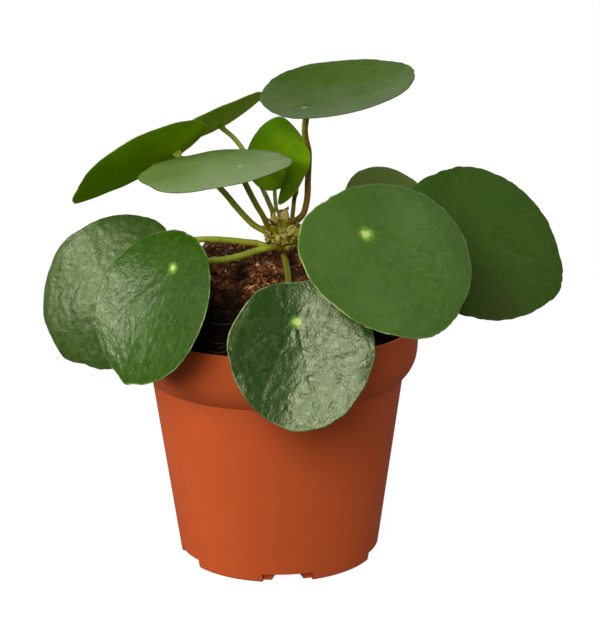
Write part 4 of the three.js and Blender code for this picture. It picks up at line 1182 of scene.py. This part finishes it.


# ---------------------------------------------------------------- petioles
# Colour stops along each stalk: partly the stalks' own colour, partly painted light and shade; stalks in shadow, such
# as 04 under leaf_04, are brightened, and the darker first stops are painted shade where the bases enter the crown.
PETIOLES = [
    dict(id="01", brown_shade=0.6, radius=1.20, path=[(6.22, 1.98, 124.3), (7.63, 2.73, 125.9), (9.96, 3.5, 128.29), (11.47, 4.2, 133.37), (11.89, 4.6, 140.75), (12.18, 3.9, 147.54), (12.06, 2.2, 152.25), (11.18, 0.3, 156.23), (10.73, -2.4, 160.3), (11.25, -4.27, 166.33), (10.97, -4.62, 167.92)],
         tints_and_painted_light=[(0, (140, 104, 30)), (0.35, (168, 134, 46)), (0.62, (178, 158, 54)), (1, (176, 178, 62))]),
    dict(id="02", swell=0.05, brown_shade=0.45, radius=0.98, path=[(0.05, 3.5, 123.3), (-0.98, 4.98, 125.1), (-1.0, 4.6, 128.17), (-3.0, 9.8, 132.42), (-4.7, 19, 134.46), (-8.17, 31, 139.96), (-12.38, 39, 146.55), (-16.2, 43.6, 150.6), (-20.63, 47.27, 154.27)],
         tints_and_painted_light=[(0, (186, 178, 62)), (0.12, (184, 182, 62)), (0.5, (182, 186, 66)), (1, (182, 194, 76))]),
    # Stalk 03's last two stops are a painted highlight where it joins leaf_03.
    dict(id="03", knob=0.5, swell=0.25, brown_shade=0.5, radius=1.20, path=[(-1.91, 0.62, 120.8), (-3.89, 0.9, 122.4), (-8.12, 3.5, 124.35), (-11.42, 6, 127.06), (-14.74, 8.5, 130.35), (-17.34, 11, 133.09), (-20.32, 13.5, 136.04), (-26.36, 19, 141.33), (-32.09, 24, 145.25), (-36.22, 26.39, 145.54), (-37.22, 27.1, 147.31)],
         tints_and_painted_light=[(0, (168, 150, 44)), (0.12, (176, 172, 50)), (0.6, (180, 190, 56)), (0.93, (190, 212, 62)), (0.97, (225, 252, 80)), (1, (235, 255, 90))]),
    dict(id="04", swell=0.25, brown_shade=0.5, radius=1.10, path=[(-1.09, -2.07, 123.3), (-2.65, -2.97, 124.74), (-4.51, -6.5, 129.36), (-6.77, -10, 134.13), (-8.82, -14, 138.94), (-10.49, -17.5, 143.23), (-11.81, -20, 146.93), (-12.2, -21.11, 147.95), (-12.37, -21.23, 149.59)],
         tints_and_painted_light=[(0, (158, 142, 40)), (0.15, (176, 170, 48)), (0.4, (190, 192, 54)), (1, (180, 194, 56))]),
    dict(id="05", radius=0.80, path=[(3.48, 3.41, 126.2), (3.75, 4.38, 127.4), (0.56, 7.2, 128.76), (-0.08, 10.2, 131.19), (-0.27, 13.8, 133.51), (-0.28, 17.2, 135.14), (0.3, 18.6, 137.8), (1.9, 18.2, 140.2), (1.77, 15.87, 140.95), (1.01, 14.78, 141.22)],
         tints_and_painted_light=[(0, (214, 214, 88)), (1, (214, 226, 92))]),
    dict(id="06", lead=0.55, drop=1.5, brown_shade=0.6, radius=0.85, path=[(5.68, -1.48, 126.3), (6.59, -1.91, 127.3), (6.04, -0.7, 127.69), (6.35, -0.4, 130.97), (6.75, -0.6, 134.8), (6.9, -1.2, 137.6)],
         tints_and_painted_light=[(0, (140, 108, 34)), (0.6, (156, 136, 40)), (1, (164, 170, 54))]),
    dict(id="07", radius=1.00, path=[(5.57, 3.17, 120.4), (7.09, 4.76, 122.38), (13, 9, 123.6), (24, 19.5, 125.6), (33.5, 29, 125), (38.5, 35, 124.6), (43.28, 38.33, 126.88), (43.7, 40.13, 127.97)],
         tints_and_painted_light=[(0, (176, 160, 40)), (1, (170, 186, 70))]),
    dict(id="08", radius=1.20, path=[(-1.67, -0.51, 116.6), (-3.85, -0.78, 117.26), (-6.69, -0.6, 118.26), (-11.44, -1.5, 119.07), (-16.89, -2.5, 119.98), (-22.33, -3.4, 120.61), (-27.8, -3.6, 120.64), (-34.45, -2.2, 119.65), (-41, 1.2, 117.2), (-48, 4.6, 112.8), (-53, 3, 108.6), (-55.45, -2.52, 108.7), (-56.65, -4.22, 109.78)],
         tints_and_painted_light=[(0, (190, 184, 56)), (0.12, (212, 214, 80)), (0.3, (210, 226, 78)), (1, (206, 224, 84))]),
    dict(id="09", swell=0.05, radius=1.25, path=[(0.13, -3.39, 117.3), (-1.02, -5.03, 117.8), (-7.41, -5.5, 116.55), (-10.65, -8.5, 116.14), (-13.87, -11.5, 115.93), (-17.05, -14.5, 115.83), (-20.54, -18, 116.12), (-23.97, -22, 116.86), (-27.8, -28.2, 116.6), (-31.3, -33.6, 115.6), (-33.86, -37.17, 117.13), (-35.28, -38.53, 118)],
         tints_and_painted_light=[(0, (100, 84, 22)), (0.07, (150, 150, 34)), (0.16, (190, 206, 60)), (0.3, (198, 214, 74)), (1, (206, 222, 92))]),
    dict(id="10", swell=0.15, radius=1.20, path=[(2.64, -4.01, 114.6), (2.72, -6.41, 114.84), (3.44, -13, 113.31), (3.84, -20, 112.18), (4.12, -29, 111.4), (4.3, -38, 109.2), (5, -47, 103.6), (5.6, -53.5, 101.6), (6.12, -57.68, 102.54), (6.44, -60.06, 103.89)],
         tints_and_painted_light=[(0, (88, 52, 36)), (0.065, (94, 58, 38)), (0.105, (126, 112, 26)), (0.14, (142, 138, 22)), (0.3, (140, 148, 14)), (1, (142, 158, 16))]),
    dict(id="11", radius=1.25, path=[(5.29, -3.33, 120.8), (6.84, -5.17, 122.24), (11, -13, 123.6), (17.5, -26, 124.6), (23.5, -38.5, 126), (28.97, -51.32, 130.05), (30, -53.66, 132.22)],
         tints_and_painted_light=[(0, (150, 134, 20)), (0.3, (176, 180, 50)), (1, (176, 194, 66))]),
    dict(id="12", radius=1.25, path=[(6.87, -0.46, 117.8), (9.45, -0.73, 119.1), (16, -0.2, 120.8), (31, 3.4, 124.6), (45, 9, 124.8), (56.5, 13.2, 121), (62.5, 13, 117.2), (66.19, 8.73, 117.1), (66.88, 6.91, 118.42)],
         tints_and_painted_light=[(0, (170, 160, 50)), (0.3, (180, 186, 70)), (1, (176, 192, 72))]),
]


def build_petiole(pet, leaf, material):
    seed = 500 + int(pet["id"])
    P = [np.array(p, float) for p in pet["path"]]
    spot, n = spot_point(leaf)
    P[-1] = spot - n * pet.get("lead", 1.5) - np.array([0, 0, pet.get("drop", 0.0)])
    P.append(spot - n * 0.22)
    # the base reaches into the stem
    stem = np.array([STEM_X, 0.0, P[0][2] - 0.8])
    inward = stem - P[0]
    inward /= np.linalg.norm(inward)
    P.insert(0, P[0] + inward * 1.9)
    line, length = spline(P, 12)
    count = int(length / 0.42) + 8
    line, length = spline(P, count)
    t = np.linspace(0, 1, count)
    away = t * length
    sides = 16
    R = pet["radius"]
    radius = R * (1.0 + pet.get("swell", 0.42) * np.exp(-((away / 3.4) ** 2)) - 0.05 * np.sin(math.pi * t))
    radius = radius * (1 + pet.get("knob", 0.35) * np.exp(-((length - away) / 1.6) ** 2))
    a = np.arange(sides) * 2 * math.pi / sides
    grid = np.stack([np.repeat(away, sides), np.tile(np.cos(a) * 1.6, count), np.tile(np.sin(a) * 1.6, count)], 1)
    bumps = 1 + 0.035 * noise(grid, 2.2, seed) + 0.03 * noise(grid * (0.25, 1, 1), 0.9, seed + 50)
    bumps = bumps.reshape(count, sides)
    V, F = tube(line, radius, sides, bumps)
    stops = np.array([s for s, _ in pet["tints_and_painted_light"]])
    cols = np.array([lin(*c) for _, c in pet["tints_and_painted_light"]])
    tint = np.stack([np.interp(t, stops, cols[:, k]) for k in range(3)], 1)
    tint = np.repeat(tint, sides, 0)
    # the lower and right-hand sides are darker and browner: painted shade on the sides turned from the light
    outward = V[:-2].reshape(count, sides, 3) - line[:, None]
    outward = outward / np.linalg.norm(outward, axis=2)[..., None]
    brown_shade = pet.get("brown_shade", 0.25) * (smooth(0.15, -0.75, outward[..., 2] - 0.5 * outward[..., 0]) * (1 - smooth(0.86, 0.97, t))[:, None]).ravel()[:, None]
    tint = tint * (1 - brown_shade * (0.35, 0.62, 0.75))
    tint = np.vstack([tint, tint[:1], tint[-1:]])
    return build(f"stalk_{pet['id']}", V, F, colours={"tint": tint}, material=material)


# ---------------------------------------------------------------- stem, bud, stipules
def build_stem(material):
    cols, rows = 96, 150
    z = np.linspace(102.6, 128.9, rows)
    prof_z = [102.6, 103.0, 104.5, 108, 112, 115, 118, 121, 124, 126.5, 128.2, 128.9]
    prof_r = [2.0, 3.2, 3.7, 3.9, 4.0, 4.5, 5.0, 5.0, 4.3, 3.2, 2.1, 0.9]
    a = np.linspace(0, 2 * math.pi, cols, endpoint=False)
    Z, A = np.meshgrid(z, a, indexing="ij")
    Rr = np.interp(Z.ravel(), prof_z, prof_r)
    p = np.stack([Rr * np.cos(A.ravel()), Rr * np.sin(A.ravel()), Z.ravel()], 1)
    lump = 0.75 * noise(p, 3.4, 71) + 0.42 * noise(p, 1.7, 72) + 0.14 * noise(p, 0.8, 73)
    # rings of old leaf scars
    scar = np.zeros(len(p))
    rng = np.random.default_rng(77)
    for k in range(16):
        ca = k * 2.39996 + rng.uniform(-0.2, 0.2)
        cz = 105.5 + k * 1.35
        c = np.array([4.0 * math.cos(ca), 4.0 * math.sin(ca), cz])
        d = np.linalg.norm((p - c) * (1, 1, 1.25), axis=1)
        scar += 0.55 * np.exp(-((d / 1.5) ** 2)) - 0.45 * np.exp(-((d / 0.75) ** 2))
    Rn = Rr + (lump + scar) * smooth(0.9, 2.4, Rr)
    p = np.stack([STEM_X + Rn * np.cos(A.ravel()), Rn * np.sin(A.ravel()), Z.ravel()], 1)
    V = np.vstack([p, [[STEM_X, 0, 102.4], [STEM_X, 0, 129.1]]])
    F = []
    for j in range(rows - 1):
        for i in range(cols):
            k = (i + 1) % cols
            F.append((j * cols + i, j * cols + k, (j + 1) * cols + k, (j + 1) * cols + i))
    for i in range(cols):
        k = (i + 1) % cols
        F.append((k, i, rows * cols))
        F.append(((rows - 1) * cols + i, (rows - 1) * cols + k, rows * cols + 1))
    hi, mid, lo = np.array(lin(196, 186, 52)), np.array(lin(158, 142, 34)), np.array(lin(92, 46, 32))
    w = smooth(115.0, 118.2, V[:, 2] + 1.2 * noise(V, 3.0, 74))[:, None]
    w2 = smooth(118, 125, V[:, 2] + 1.5 * noise(V, 3.0, 75))[:, None]
    tint = (lo * (1 - w) + mid * w) * (1 - w2) + hi * w2
    return build("stem_nodes", V, F, colours={"tint": tint}, material=material)


def scale_leaf(length, width, curl, thick, seed):
    """A pointed, cupped scale: local x along it, y across, z outward."""
    nu, nv = 22, 11
    u = np.linspace(0, 1, nu)
    w = width * np.sin(np.pi * np.clip(u * 0.92 + 0.06, 0, 1)) ** 0.7 * (1 - 0.35 * u) + 0.02
    vv = np.linspace(-1, 1, nv)
    U, Vv = np.meshgrid(u, vv, indexing="ij")
    W = np.repeat(w[:, None], nv, 1)
    x = U * length
    y = Vv * W / 2
    z = curl * length * U ** 2 - 0.35 * W * (Vv ** 2) + 0.06 * np.sin(5 * U + seed) * length * 0.3
    P = np.stack([x.ravel(), y.ravel(), z.ravel()], 1)
    P = P + 0.07 * np.stack([noise(P * 1.3 + seed, 1.0, seed), noise(P * 1.3 + seed, 1.0, seed + 1), noise(P * 1.3 + seed, 1.0, seed + 2)], 1)
    th = thick * (1 - 0.6 * U.ravel())
    top, bot = P + np.stack([0 * th, 0 * th, th / 2], 1), P - np.stack([0 * th, 0 * th, th / 2], 1)
    N = nu * nv
    V = np.vstack([top, bot])
    F = []
    for i in range(nu - 1):
        for j in range(nv - 1):
            a, b, c, d = i * nv + j, (i + 1) * nv + j, (i + 1) * nv + j + 1, i * nv + j + 1
            F += [(a, b, c, d), (N + d, N + c, N + b, N + a)]
    for i in range(nu - 1):
        a, b = i * nv, (i + 1) * nv
        F.append((b, a, N + a, N + b))
        a, b = i * nv + nv - 1, (i + 1) * nv + nv - 1
        F.append((a, b, N + b, N + a))
    for j in range(nv - 1):
        a, b = j, j + 1
        F.append((a, b, N + b, N + a))
        a, b = (nu - 1) * nv + j, (nu - 1) * nv + j + 1
        F.append((b, a, N + a, N + b))
    return V, F, np.concatenate([U.ravel(), U.ravel()])


def place_scale(azimuth, height, lean, length, width, curl, seed, radius=3.5, thick=0.18):
    V, F, tip = scale_leaf(length, width, curl, thick, seed)
    az, ln = math.radians(azimuth), math.radians(lean)
    out = np.array([math.cos(az), math.sin(az), 0])
    side = np.array([-math.sin(az), math.cos(az), 0])
    up = np.array([0, 0, 1.0])
    along = up * math.cos(ln) + out * math.sin(ln)
    face = out * math.cos(ln) - up * math.sin(ln)
    origin = np.array([STEM_X, 0, height]) + out * radius
    W = V[:, :1] * along + V[:, 1:2] * side + V[:, 2:3] * face + origin
    return W, F, tip


# ---------------------------------------------------------------- build everything
mat_pot = pot_material()
mat_soil = soil_material()
mat_chip = litter_material("bark", [
    (0.0, (0.016, 0.006, 0.003)), (0.25, (0.085, 0.026, 0.009)), (0.5, (0.26, 0.078, 0.024)), (0.75, (0.80, 0.31, 0.095)), (1.0, (1.0, 0.72, 0.44)),
])
mat_fibre = litter_material("coir", [
    (0.0, (0.035, 0.016, 0.008)), (0.4, (0.15, 0.070, 0.032)), (0.75, (0.38, 0.21, 0.10)), (1.0, (0.72, 0.50, 0.28)),
], bump=0.0001, scale=1500)
mat_perlite = litter_material("perlite_grain", [
    (0.0, (0.34, 0.26, 0.20)), (0.5, (0.62, 0.55, 0.47)), (1.0, (0.82, 0.78, 0.72)),
], bump=0.0004, scale=1400)
mat_petiole = petiole_material()
mat_stem = stem_material()
mat_stipule = stipule_material()

UNDER = (0.075, 0.135, 0.016)
YELLOWISH = (0.90, 1.0, 0.22)
# The pale and dull colours given below are those of the marks' patches, partly painted light and painted shade.
leaf_mats = {
    # The brown rims of leaf_01 and leaf_04 are partly a brownish margin, partly painted shade along their lower edges.
    "01": leaf_material("leaf_01_skin", (0.072, 0.144, 0.013), (0.098, 0.182, 0.018), UNDER, 0.36, gloss=0.08, tint=(0.93, 1.0, 0.35),
                        spot_size=0.42, spot=(0.80, 0.95, 0.50), ring=(0.16, 0.30, 0.05), vein_share=0.12, mottle=0.22, rim=(0.12, 0.08, 0.02), rim_share=0.9),
    "02": leaf_material("leaf_02_skin", (0.045, 0.090, 0.010), (0.058, 0.110, 0.014), (0.310, 0.450, 0.024), 0.40, (0.60, 0.88, 0.06), gloss=0.25, tint=YELLOWISH, mottle=0.10),
    "03": leaf_material("leaf_03_skin", (0.040, 0.090, 0.006), (0.052, 0.110, 0.009), (0.230, 0.415, 0.0022), 0.40, (0.46, 0.84, 0.002), gloss=0.22, tint=YELLOWISH, under_gloss=0.0,
                        pale_and_painted_light=(0.62, 0.92, 0.012), dull_and_painted_shade=(0.30, 0.30, 0.05)),
    # leaf_04's pale, greyish base colour is partly a painted sheen, standing in for the bright background reflected at
    # a grazing angle.
    "04": leaf_material("leaf_04_skin_and_painted_sheen", (0.222, 0.362, 0.080), (0.244, 0.392, 0.090), UNDER, 0.36, gloss=0.32, tint=(0.94, 1.0, 0.55),
                        spot_size=0.55, spot=(0.80, 0.95, 0.50), mottle=0.12, vein_share=0.16, rim=(0.12, 0.08, 0.02), rim_share=0.9),
    "05": leaf_material("leaf_05_skin", (0.090, 0.216, 0.0012), (0.112, 0.258, 0.0018), (0.080, 0.190, 0.0012), 0.42, (0.30, 0.72, 0.0), 0.36, gloss=0.12, tint=YELLOWISH,
                        vein_colour=(0.34, 0.52, 0.03), vein_share=0.18, spot=(0.34, 0.56, 0.012), ring=(0.34, 0.56, 0.012), rim_share=0.4, mottle=0.10, pale_and_painted_light=(0.82, 1.0, 0.020), dull_and_painted_shade=(0.075, 0.150, 0.001)),
    "06": leaf_material("leaf_06_skin", (0.130, 0.310, 0.0012), (0.160, 0.365, 0.0018), (0.080, 0.190, 0.0012), 0.42, (0.30, 0.72, 0.0), 0.36, gloss=0.10, tint=YELLOWISH,
                        rim=(0.46, 0.70, 0.03), rim_share=0.3, spot=(0.30, 0.46, 0.004), ring=(0.30, 0.46, 0.004), mottle=0.10, pale_and_painted_light=(0.60, 0.80, 0.010), dull_and_painted_shade=(0.30, 0.26, 0.012)),
    # leaf_07's pale, greyish under colour is partly the paler underside, partly painted light standing in for light
    # from below.
    "07": leaf_material("leaf_07_skin", (0.060, 0.110, 0.016), (0.072, 0.130, 0.022), (0.265, 0.335, 0.115), 0.40, (0.50, 0.67, 0.26), 0.45, gloss=0.3, tint=YELLOWISH, mottle=0.3),
    "08": leaf_material("leaf_08_skin", (0.044, 0.096, 0.010), (0.060, 0.122, 0.015), UNDER, 0.36, gloss=0.74, rim=(0.14, 0.15, 0.05), vein_share=0.12, mottle=0.32),
    "09": leaf_material("leaf_09_skin", (0.036, 0.112, 0.0012), (0.050, 0.138, 0.0030), UNDER, 0.28, gloss=0.54, tint=(0.97, 1.0, 0.72), vein_share=0.16, mottle=0.30),
    "10": leaf_material("leaf_10_skin", (0.019, 0.074, 0.0010), (0.027, 0.092, 0.0020), UNDER, 0.28, gloss=1.0, tint=(0.95, 1.0, 0.66), spot=(0.80, 1.0, 0.26), mottle=0.30),
    "11": leaf_material("leaf_11_skin", (0.069, 0.176, 0.014), (0.088, 0.206, 0.020), UNDER, 0.28, gloss=0.62, rim=(0.26, 0.42, 0.08), rim_share=0.8, painted_rim_highlight=(0.66, 0.82, 0.26),
                        spot_size=1.25, spot=(0.82, 1.0, 0.26), mottle=0.20, pale_and_painted_light=(0.135, 0.270, 0.040), dull_and_painted_shade=(0.062, 0.150, 0.012)),
    "12": leaf_material("leaf_12_skin", (0.050, 0.116, 0.009), (0.064, 0.142, 0.013), UNDER, 0.38, gloss=0.24, rim=(0.14, 0.22, 0.05), rim_share=0.5, mottle=0.26,
                        pale_and_painted_light=(0.066, 0.150, 0.012), dull_and_painted_shade=(0.062, 0.082, 0.016)),
}

pot = build_pot(mat_pot)
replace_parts(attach(pot, "root"), "pot")

ball = build_soil(mat_soil)
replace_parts(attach(ball, "root"), "soil")
for piece in build_litter(mat_chip, mat_fibre, mat_perlite):
    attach(piece, "root")

by_id = {leaf["id"]: leaf for leaf in LEAVES}
for leaf in LEAVES:
    cells = 64 if leaf["id"] in ("05", "06") else (84 if leaf["id"] == "07" else 108)
    piece = build_leaf(leaf, cells, leaf_mats[leaf["id"]])
    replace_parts(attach(piece, "root"), f"leaf_{leaf['id']}")
for pet in PETIOLES:
    piece = build_petiole(pet, by_id[pet["id"]], mat_petiole)
    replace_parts(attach(piece, "root"), f"petiole_{pet['id']}")

stem = build_stem(mat_stem)
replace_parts(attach(stem, "root"), "stem")

STIPULES = {
    "stipule_1": (-112, 119.4, 30, 4.6, 2.6, 0.10, 3),
    "stipule_2": (-84, 116.9, 40, 3.6, 2.4, 0.05, 5),
    "stipule_3": (-78, 121.6, 22, 4.4, 2.2, 0.04, 8),
    "stipule_4": (15, 119.4, 32, 3.6, 2.2, 0.06, 11),
}
for name, (az, h, lean, length, width, curl, seed) in STIPULES.items():
    V, F, tip = place_scale(az, h, lean, length, width, curl, seed)
    piece = build(name.replace("stipule_", "scale_"), V, F, {"tip": tip, "shade": np.full(len(V), 0.25)}, material=mat_stipule)
    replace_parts(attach(piece, "root"), name)

extra = Parts()
rng = np.random.default_rng(9)
for k in range(26):
    az = k * 137.508 + rng.uniform(-18, 18)
    h = 114.8 + 9.4 * (k / 25) + rng.uniform(-0.5, 0.5)
    lean = 46 - 28 * (k / 25) + rng.uniform(-10, 12)
    r = float(np.interp(h, (114, 117, 121, 124, 126), (4.2, 4.7, 4.9, 4.0, 2.8)))
    V, F, tip = place_scale(az, h, lean, rng.uniform(3.2, 5.2), rng.uniform(2.2, 3.6), rng.uniform(-0.12, 0.22), 21 + k, r, 0.26)
    extra.add(V, F, tip=tip, shade=rng.uniform(0.2, 1.0))
# loose clusters at the front: centre, spread, how many, how olive
for centre, spread, count, olive in (
    ((-2.4, -4.6, 119.9), (2.3, 0.4, 1.3), 9, 0.22), ((6.0, -6.3, 121.6), (1.7, 0.4, 1.5), 9, 0.08), ((4.4, -5.6, 118.8), (1.6, 0.4, 0.6), 5, 0.75),
    ((-1.3, -3.4, 126.2), (0.7, 0.5, 0.9), 4, 0.05), ((1.6, -4.6, 123.0), (1.8, 0.4, 1.0), 6, 0.85), ((0.2, -5.7, 118.9), (1.0, 0.3, 0.5), 3, 0.9),
    ((-1.6, -3.8, 122.4), (1.0, 0.4, 0.7), 3, 0.7), ((-2.0, 3.8, 120.5), (2.6, 0.5, 2.2), 6, 0.4), ((6.0, 3.6, 121.0), (2.0, 0.5, 2.0), 5, 0.4),
):
    for k in range(count):
        c = np.array(centre) + np.array(spread) * rng.uniform(-1, 1, 3)
        V, F, tip = scale_leaf(rng.uniform(2.6, 4.4), rng.uniform(1.9, 3.0), rng.uniform(0.10, 0.40), 0.26, int(rng.integers(100, 900)))
        outward = np.array([c[0] - STEM_X, c[1], 0.0])
        outward = outward / np.linalg.norm(outward) + rng.normal(0, 0.25, 3)
        M = turn_to(outward, rng.uniform(-1.3, 1.3) + math.pi / 2, rng.normal(-0.5, 0.35), rng)
        extra.add(V @ M.T + c, F, tip=tip, shade=np.clip(olive + rng.normal(0, 0.22), 0, 1))
piece = extra.object("old_scales", mat_stipule)
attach(piece, "root")

bud = Parts()
for az, h, lean, length, width, curl, seed, radius, shade in (
    (-118, 124.0, -9, 6.6, 4.4, 0.03, 41, 2.5, 0.62), (25, 124.4, -9, 6.2, 3.6, 0.03, 42, 2.2, 0.5), (145, 124.4, -9, 6.2, 3.8, 0.03, 43, 2.2, 0.6),
    (-58, 124.2, 3, 7.6, 5.0, 0.02, 44, 2.1, -1.0), (-140, 123.6, 10, 4.8, 2.4, 0.08, 45, 2.8, 0.3), (-80, 123.2, 10, 4.4, 2.4, 0.08, 46, 2.9, 0.6),
):
    V, F, tip = place_scale(az, h, lean, length, width, curl, seed, radius, 0.5)
    bud.add(V, F, tip=tip, shade=shade)
line = np.array([(STEM_X, 0, 124.4), (STEM_X, 0, 127.2), (STEM_X - 0.1, -0.1, 129.2), (STEM_X - 0.2, -0.3, 130.8)])
tube_into(bud, line, np.array([2.1, 2.0, 1.3, 0.5]), 14, tip=0.4, shade=0.8)
V, F = ico_sphere(2)
bud.add(V * (0.42, 0.42, 0.5) + (STEM_X - 0.15, -1.5, 130.7), F, tip=1.0, shade=1.0)
bud.add(V * (0.40, 0.40, 0.7) + (STEM_X + 1.9, -1.4, 131.5), F, tip=0.95, shade=0.6)
piece = bud.object("growing_tip", mat_stipule)
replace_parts(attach(piece, "root"), "terminal_bud")

# ---------------------------------------------------------------- floor, light, camera
floor_mesh = bpy.data.meshes.new("floor")
floor_mesh.from_pydata([(-6, -4, 0), (6, -4, 0), (6, 8, 0), (-6, 8, 0)], [], [(0, 1, 2, 3)])
floor = bpy.data.objects.new("floor", floor_mesh)
bpy.context.scene.collection.objects.link(floor)
fm = Nodes("floor_white")
diffuse = fm.new("ShaderNodeBsdfDiffuse")
diffuse.inputs["Color"].default_value = (0.9, 0.9, 0.9, 1)
glowing = fm.new("ShaderNodeEmission")
glowing.inputs["Color"].default_value = (1, 1, 1, 1)
glowing.inputs["Strength"].default_value = 1.07
both = fm.new("ShaderNodeMixShader")
both.inputs[0].default_value = 0.90
fm.link(diffuse.outputs[0], both.inputs[1])
fm.link(glowing.outputs[0], both.inputs[2])
floor_mesh.materials.append(fm.finish(both.outputs[0]))
floor.visible_diffuse = False
floor.visible_glossy = False
floor.visible_transmission = False

scene = bpy.context.scene
world = bpy.data.worlds.new("studio")
scene.world = world
world.use_nodes = True
wt = world.node_tree
wt.nodes.clear()
w_out = wt.nodes.new("ShaderNodeOutputWorld")
w_bg = wt.nodes.new("ShaderNodeBackground")
w_co = wt.nodes.new("ShaderNodeTexCoord")
w_sep = wt.nodes.new("ShaderNodeSeparateXYZ")
wt.links.new(w_co.outputs["Generated"], w_sep.inputs[0])


def w_range(value, a, b, lo, hi):
    node = wt.nodes.new("ShaderNodeMapRange")
    node.interpolation_type = "SMOOTHSTEP"
    wt.links.new(value, node.inputs["Value"])
    for key, v in (("From Min", a), ("From Max", b), ("To Min", lo), ("To Max", hi)):
        node.inputs[key].default_value = v
    return node.outputs["Result"]


def w_math(op, a, b):
    node = wt.nodes.new("ShaderNodeMath")
    node.operation = op
    for socket, value in zip(node.inputs, (a, b)):
        if hasattr(value, "is_output"):
            wt.links.new(value, socket)
        else:
            socket.default_value = value
    return node.outputs[0]


base = w_range(w_sep.outputs["X"], -0.55, -0.85, 0.33, 0.12)
behind = w_math("MULTIPLY", w_range(w_sep.outputs["Y"], 0.55, 0.85, 0.0, 1.0), w_range(w_sep.outputs["Z"], 0.40, 0.62, 1.0, 0.0))
behind = w_math("MULTIPLY", behind, 1.1)
base = w_math("MULTIPLY", base, w_range(w_sep.outputs["Y"], -0.35, -0.75, 1.0, 0.50))
base = w_math("ADD", base, w_range(w_sep.outputs["X"], 0.74, 0.94, 0.0, 0.34))
down = w_range(w_sep.outputs["Z"], -0.12, 0.04, 1.0, 0.0)
lower = w_math("MULTIPLY", down, 0.13)
upper = w_math("MULTIPLY", w_math("SUBTRACT", 1.0, down), w_math("ADD", base, behind))
around = w_math("ADD", lower, upper)
path = wt.nodes.new("ShaderNodeLightPath")
seen = w_math("MULTIPLY", path.outputs["Is Camera Ray"], 1.07)
rest = w_math("MULTIPLY", w_math("SUBTRACT", 1.0, path.outputs["Is Camera Ray"]), around)
wt.links.new(w_math("ADD", seen, rest), w_bg.inputs["Strength"])
w_bg.inputs["Color"].default_value = (1, 1, 1, 1)
wt.links.new(w_bg.outputs[0], w_out.inputs[0])


def softbox(name, direction, distance, width, height, power, colour=(1, 1, 1)):
    light = bpy.data.lights.new(name, "AREA")
    light.shape = "RECTANGLE"
    light.size, light.size_y = width, height
    light.energy = power
    light.color = colour
    obj = bpy.data.objects.new(name, light)
    d = Vector(direction).normalized()
    target = Vector((0, 0, 0.1))
    obj.location = target + d * distance
    obj.rotation_euler = d.to_track_quat("Z", "Y").to_euler()
    obj.visible_camera = False
    scene.collection.objects.link(obj)
    return obj


softbox("left_key", (-0.90, -0.15, 0.38), 1.4, 0.60, 0.42, 9.8, (1.0, 0.99, 0.97))
softbox("front_key", (-0.20, -0.86, 0.46), 1.4, 0.54, 0.68, 10.3, (1.0, 0.99, 0.97))
softbox("fill", (-0.70, -0.66, 0.30), 1.6, 1.0, 0.8, 2.4)
softbox("side_light", (0.60, -0.08, 0.79), 1.4, 0.26, 0.26, 0.50)

# Camera, at the photograph's height, distance and tilt.
YAW, PITCH, ROLL = 0.0131228, 0.256327, -0.00745405
forward = Vector((math.sin(YAW) * math.cos(PITCH), math.cos(YAW) * math.cos(PITCH), -math.sin(PITCH)))
right = Vector((math.cos(YAW), -math.sin(YAW), 0))
up = right.cross(forward)
right2 = right * math.cos(ROLL) + up * math.sin(ROLL)
up2 = -right * math.sin(ROLL) + up * math.cos(ROLL)
cam_data = bpy.data.cameras.new("camera")
cam_data.sensor_width = 36.0
cam_data.lens = 103.28
cam_data.clip_start, cam_data.clip_end = 0.02, 30
camera = bpy.data.objects.new("camera", cam_data)
rotation = Matrix((right2, up2, -forward)).transposed().to_4x4()
camera.matrix_world = Matrix.Translation((0.0, -0.650, 0.260998)) @ rotation
scene.collection.objects.link(camera)
scene.camera = camera

scene.view_settings.view_transform = "Standard"
scene.view_settings.look = "None"
scene.view_settings.exposure = 0.0
scene.view_settings.gamma = 1.0

bpy.context.view_layer.update()
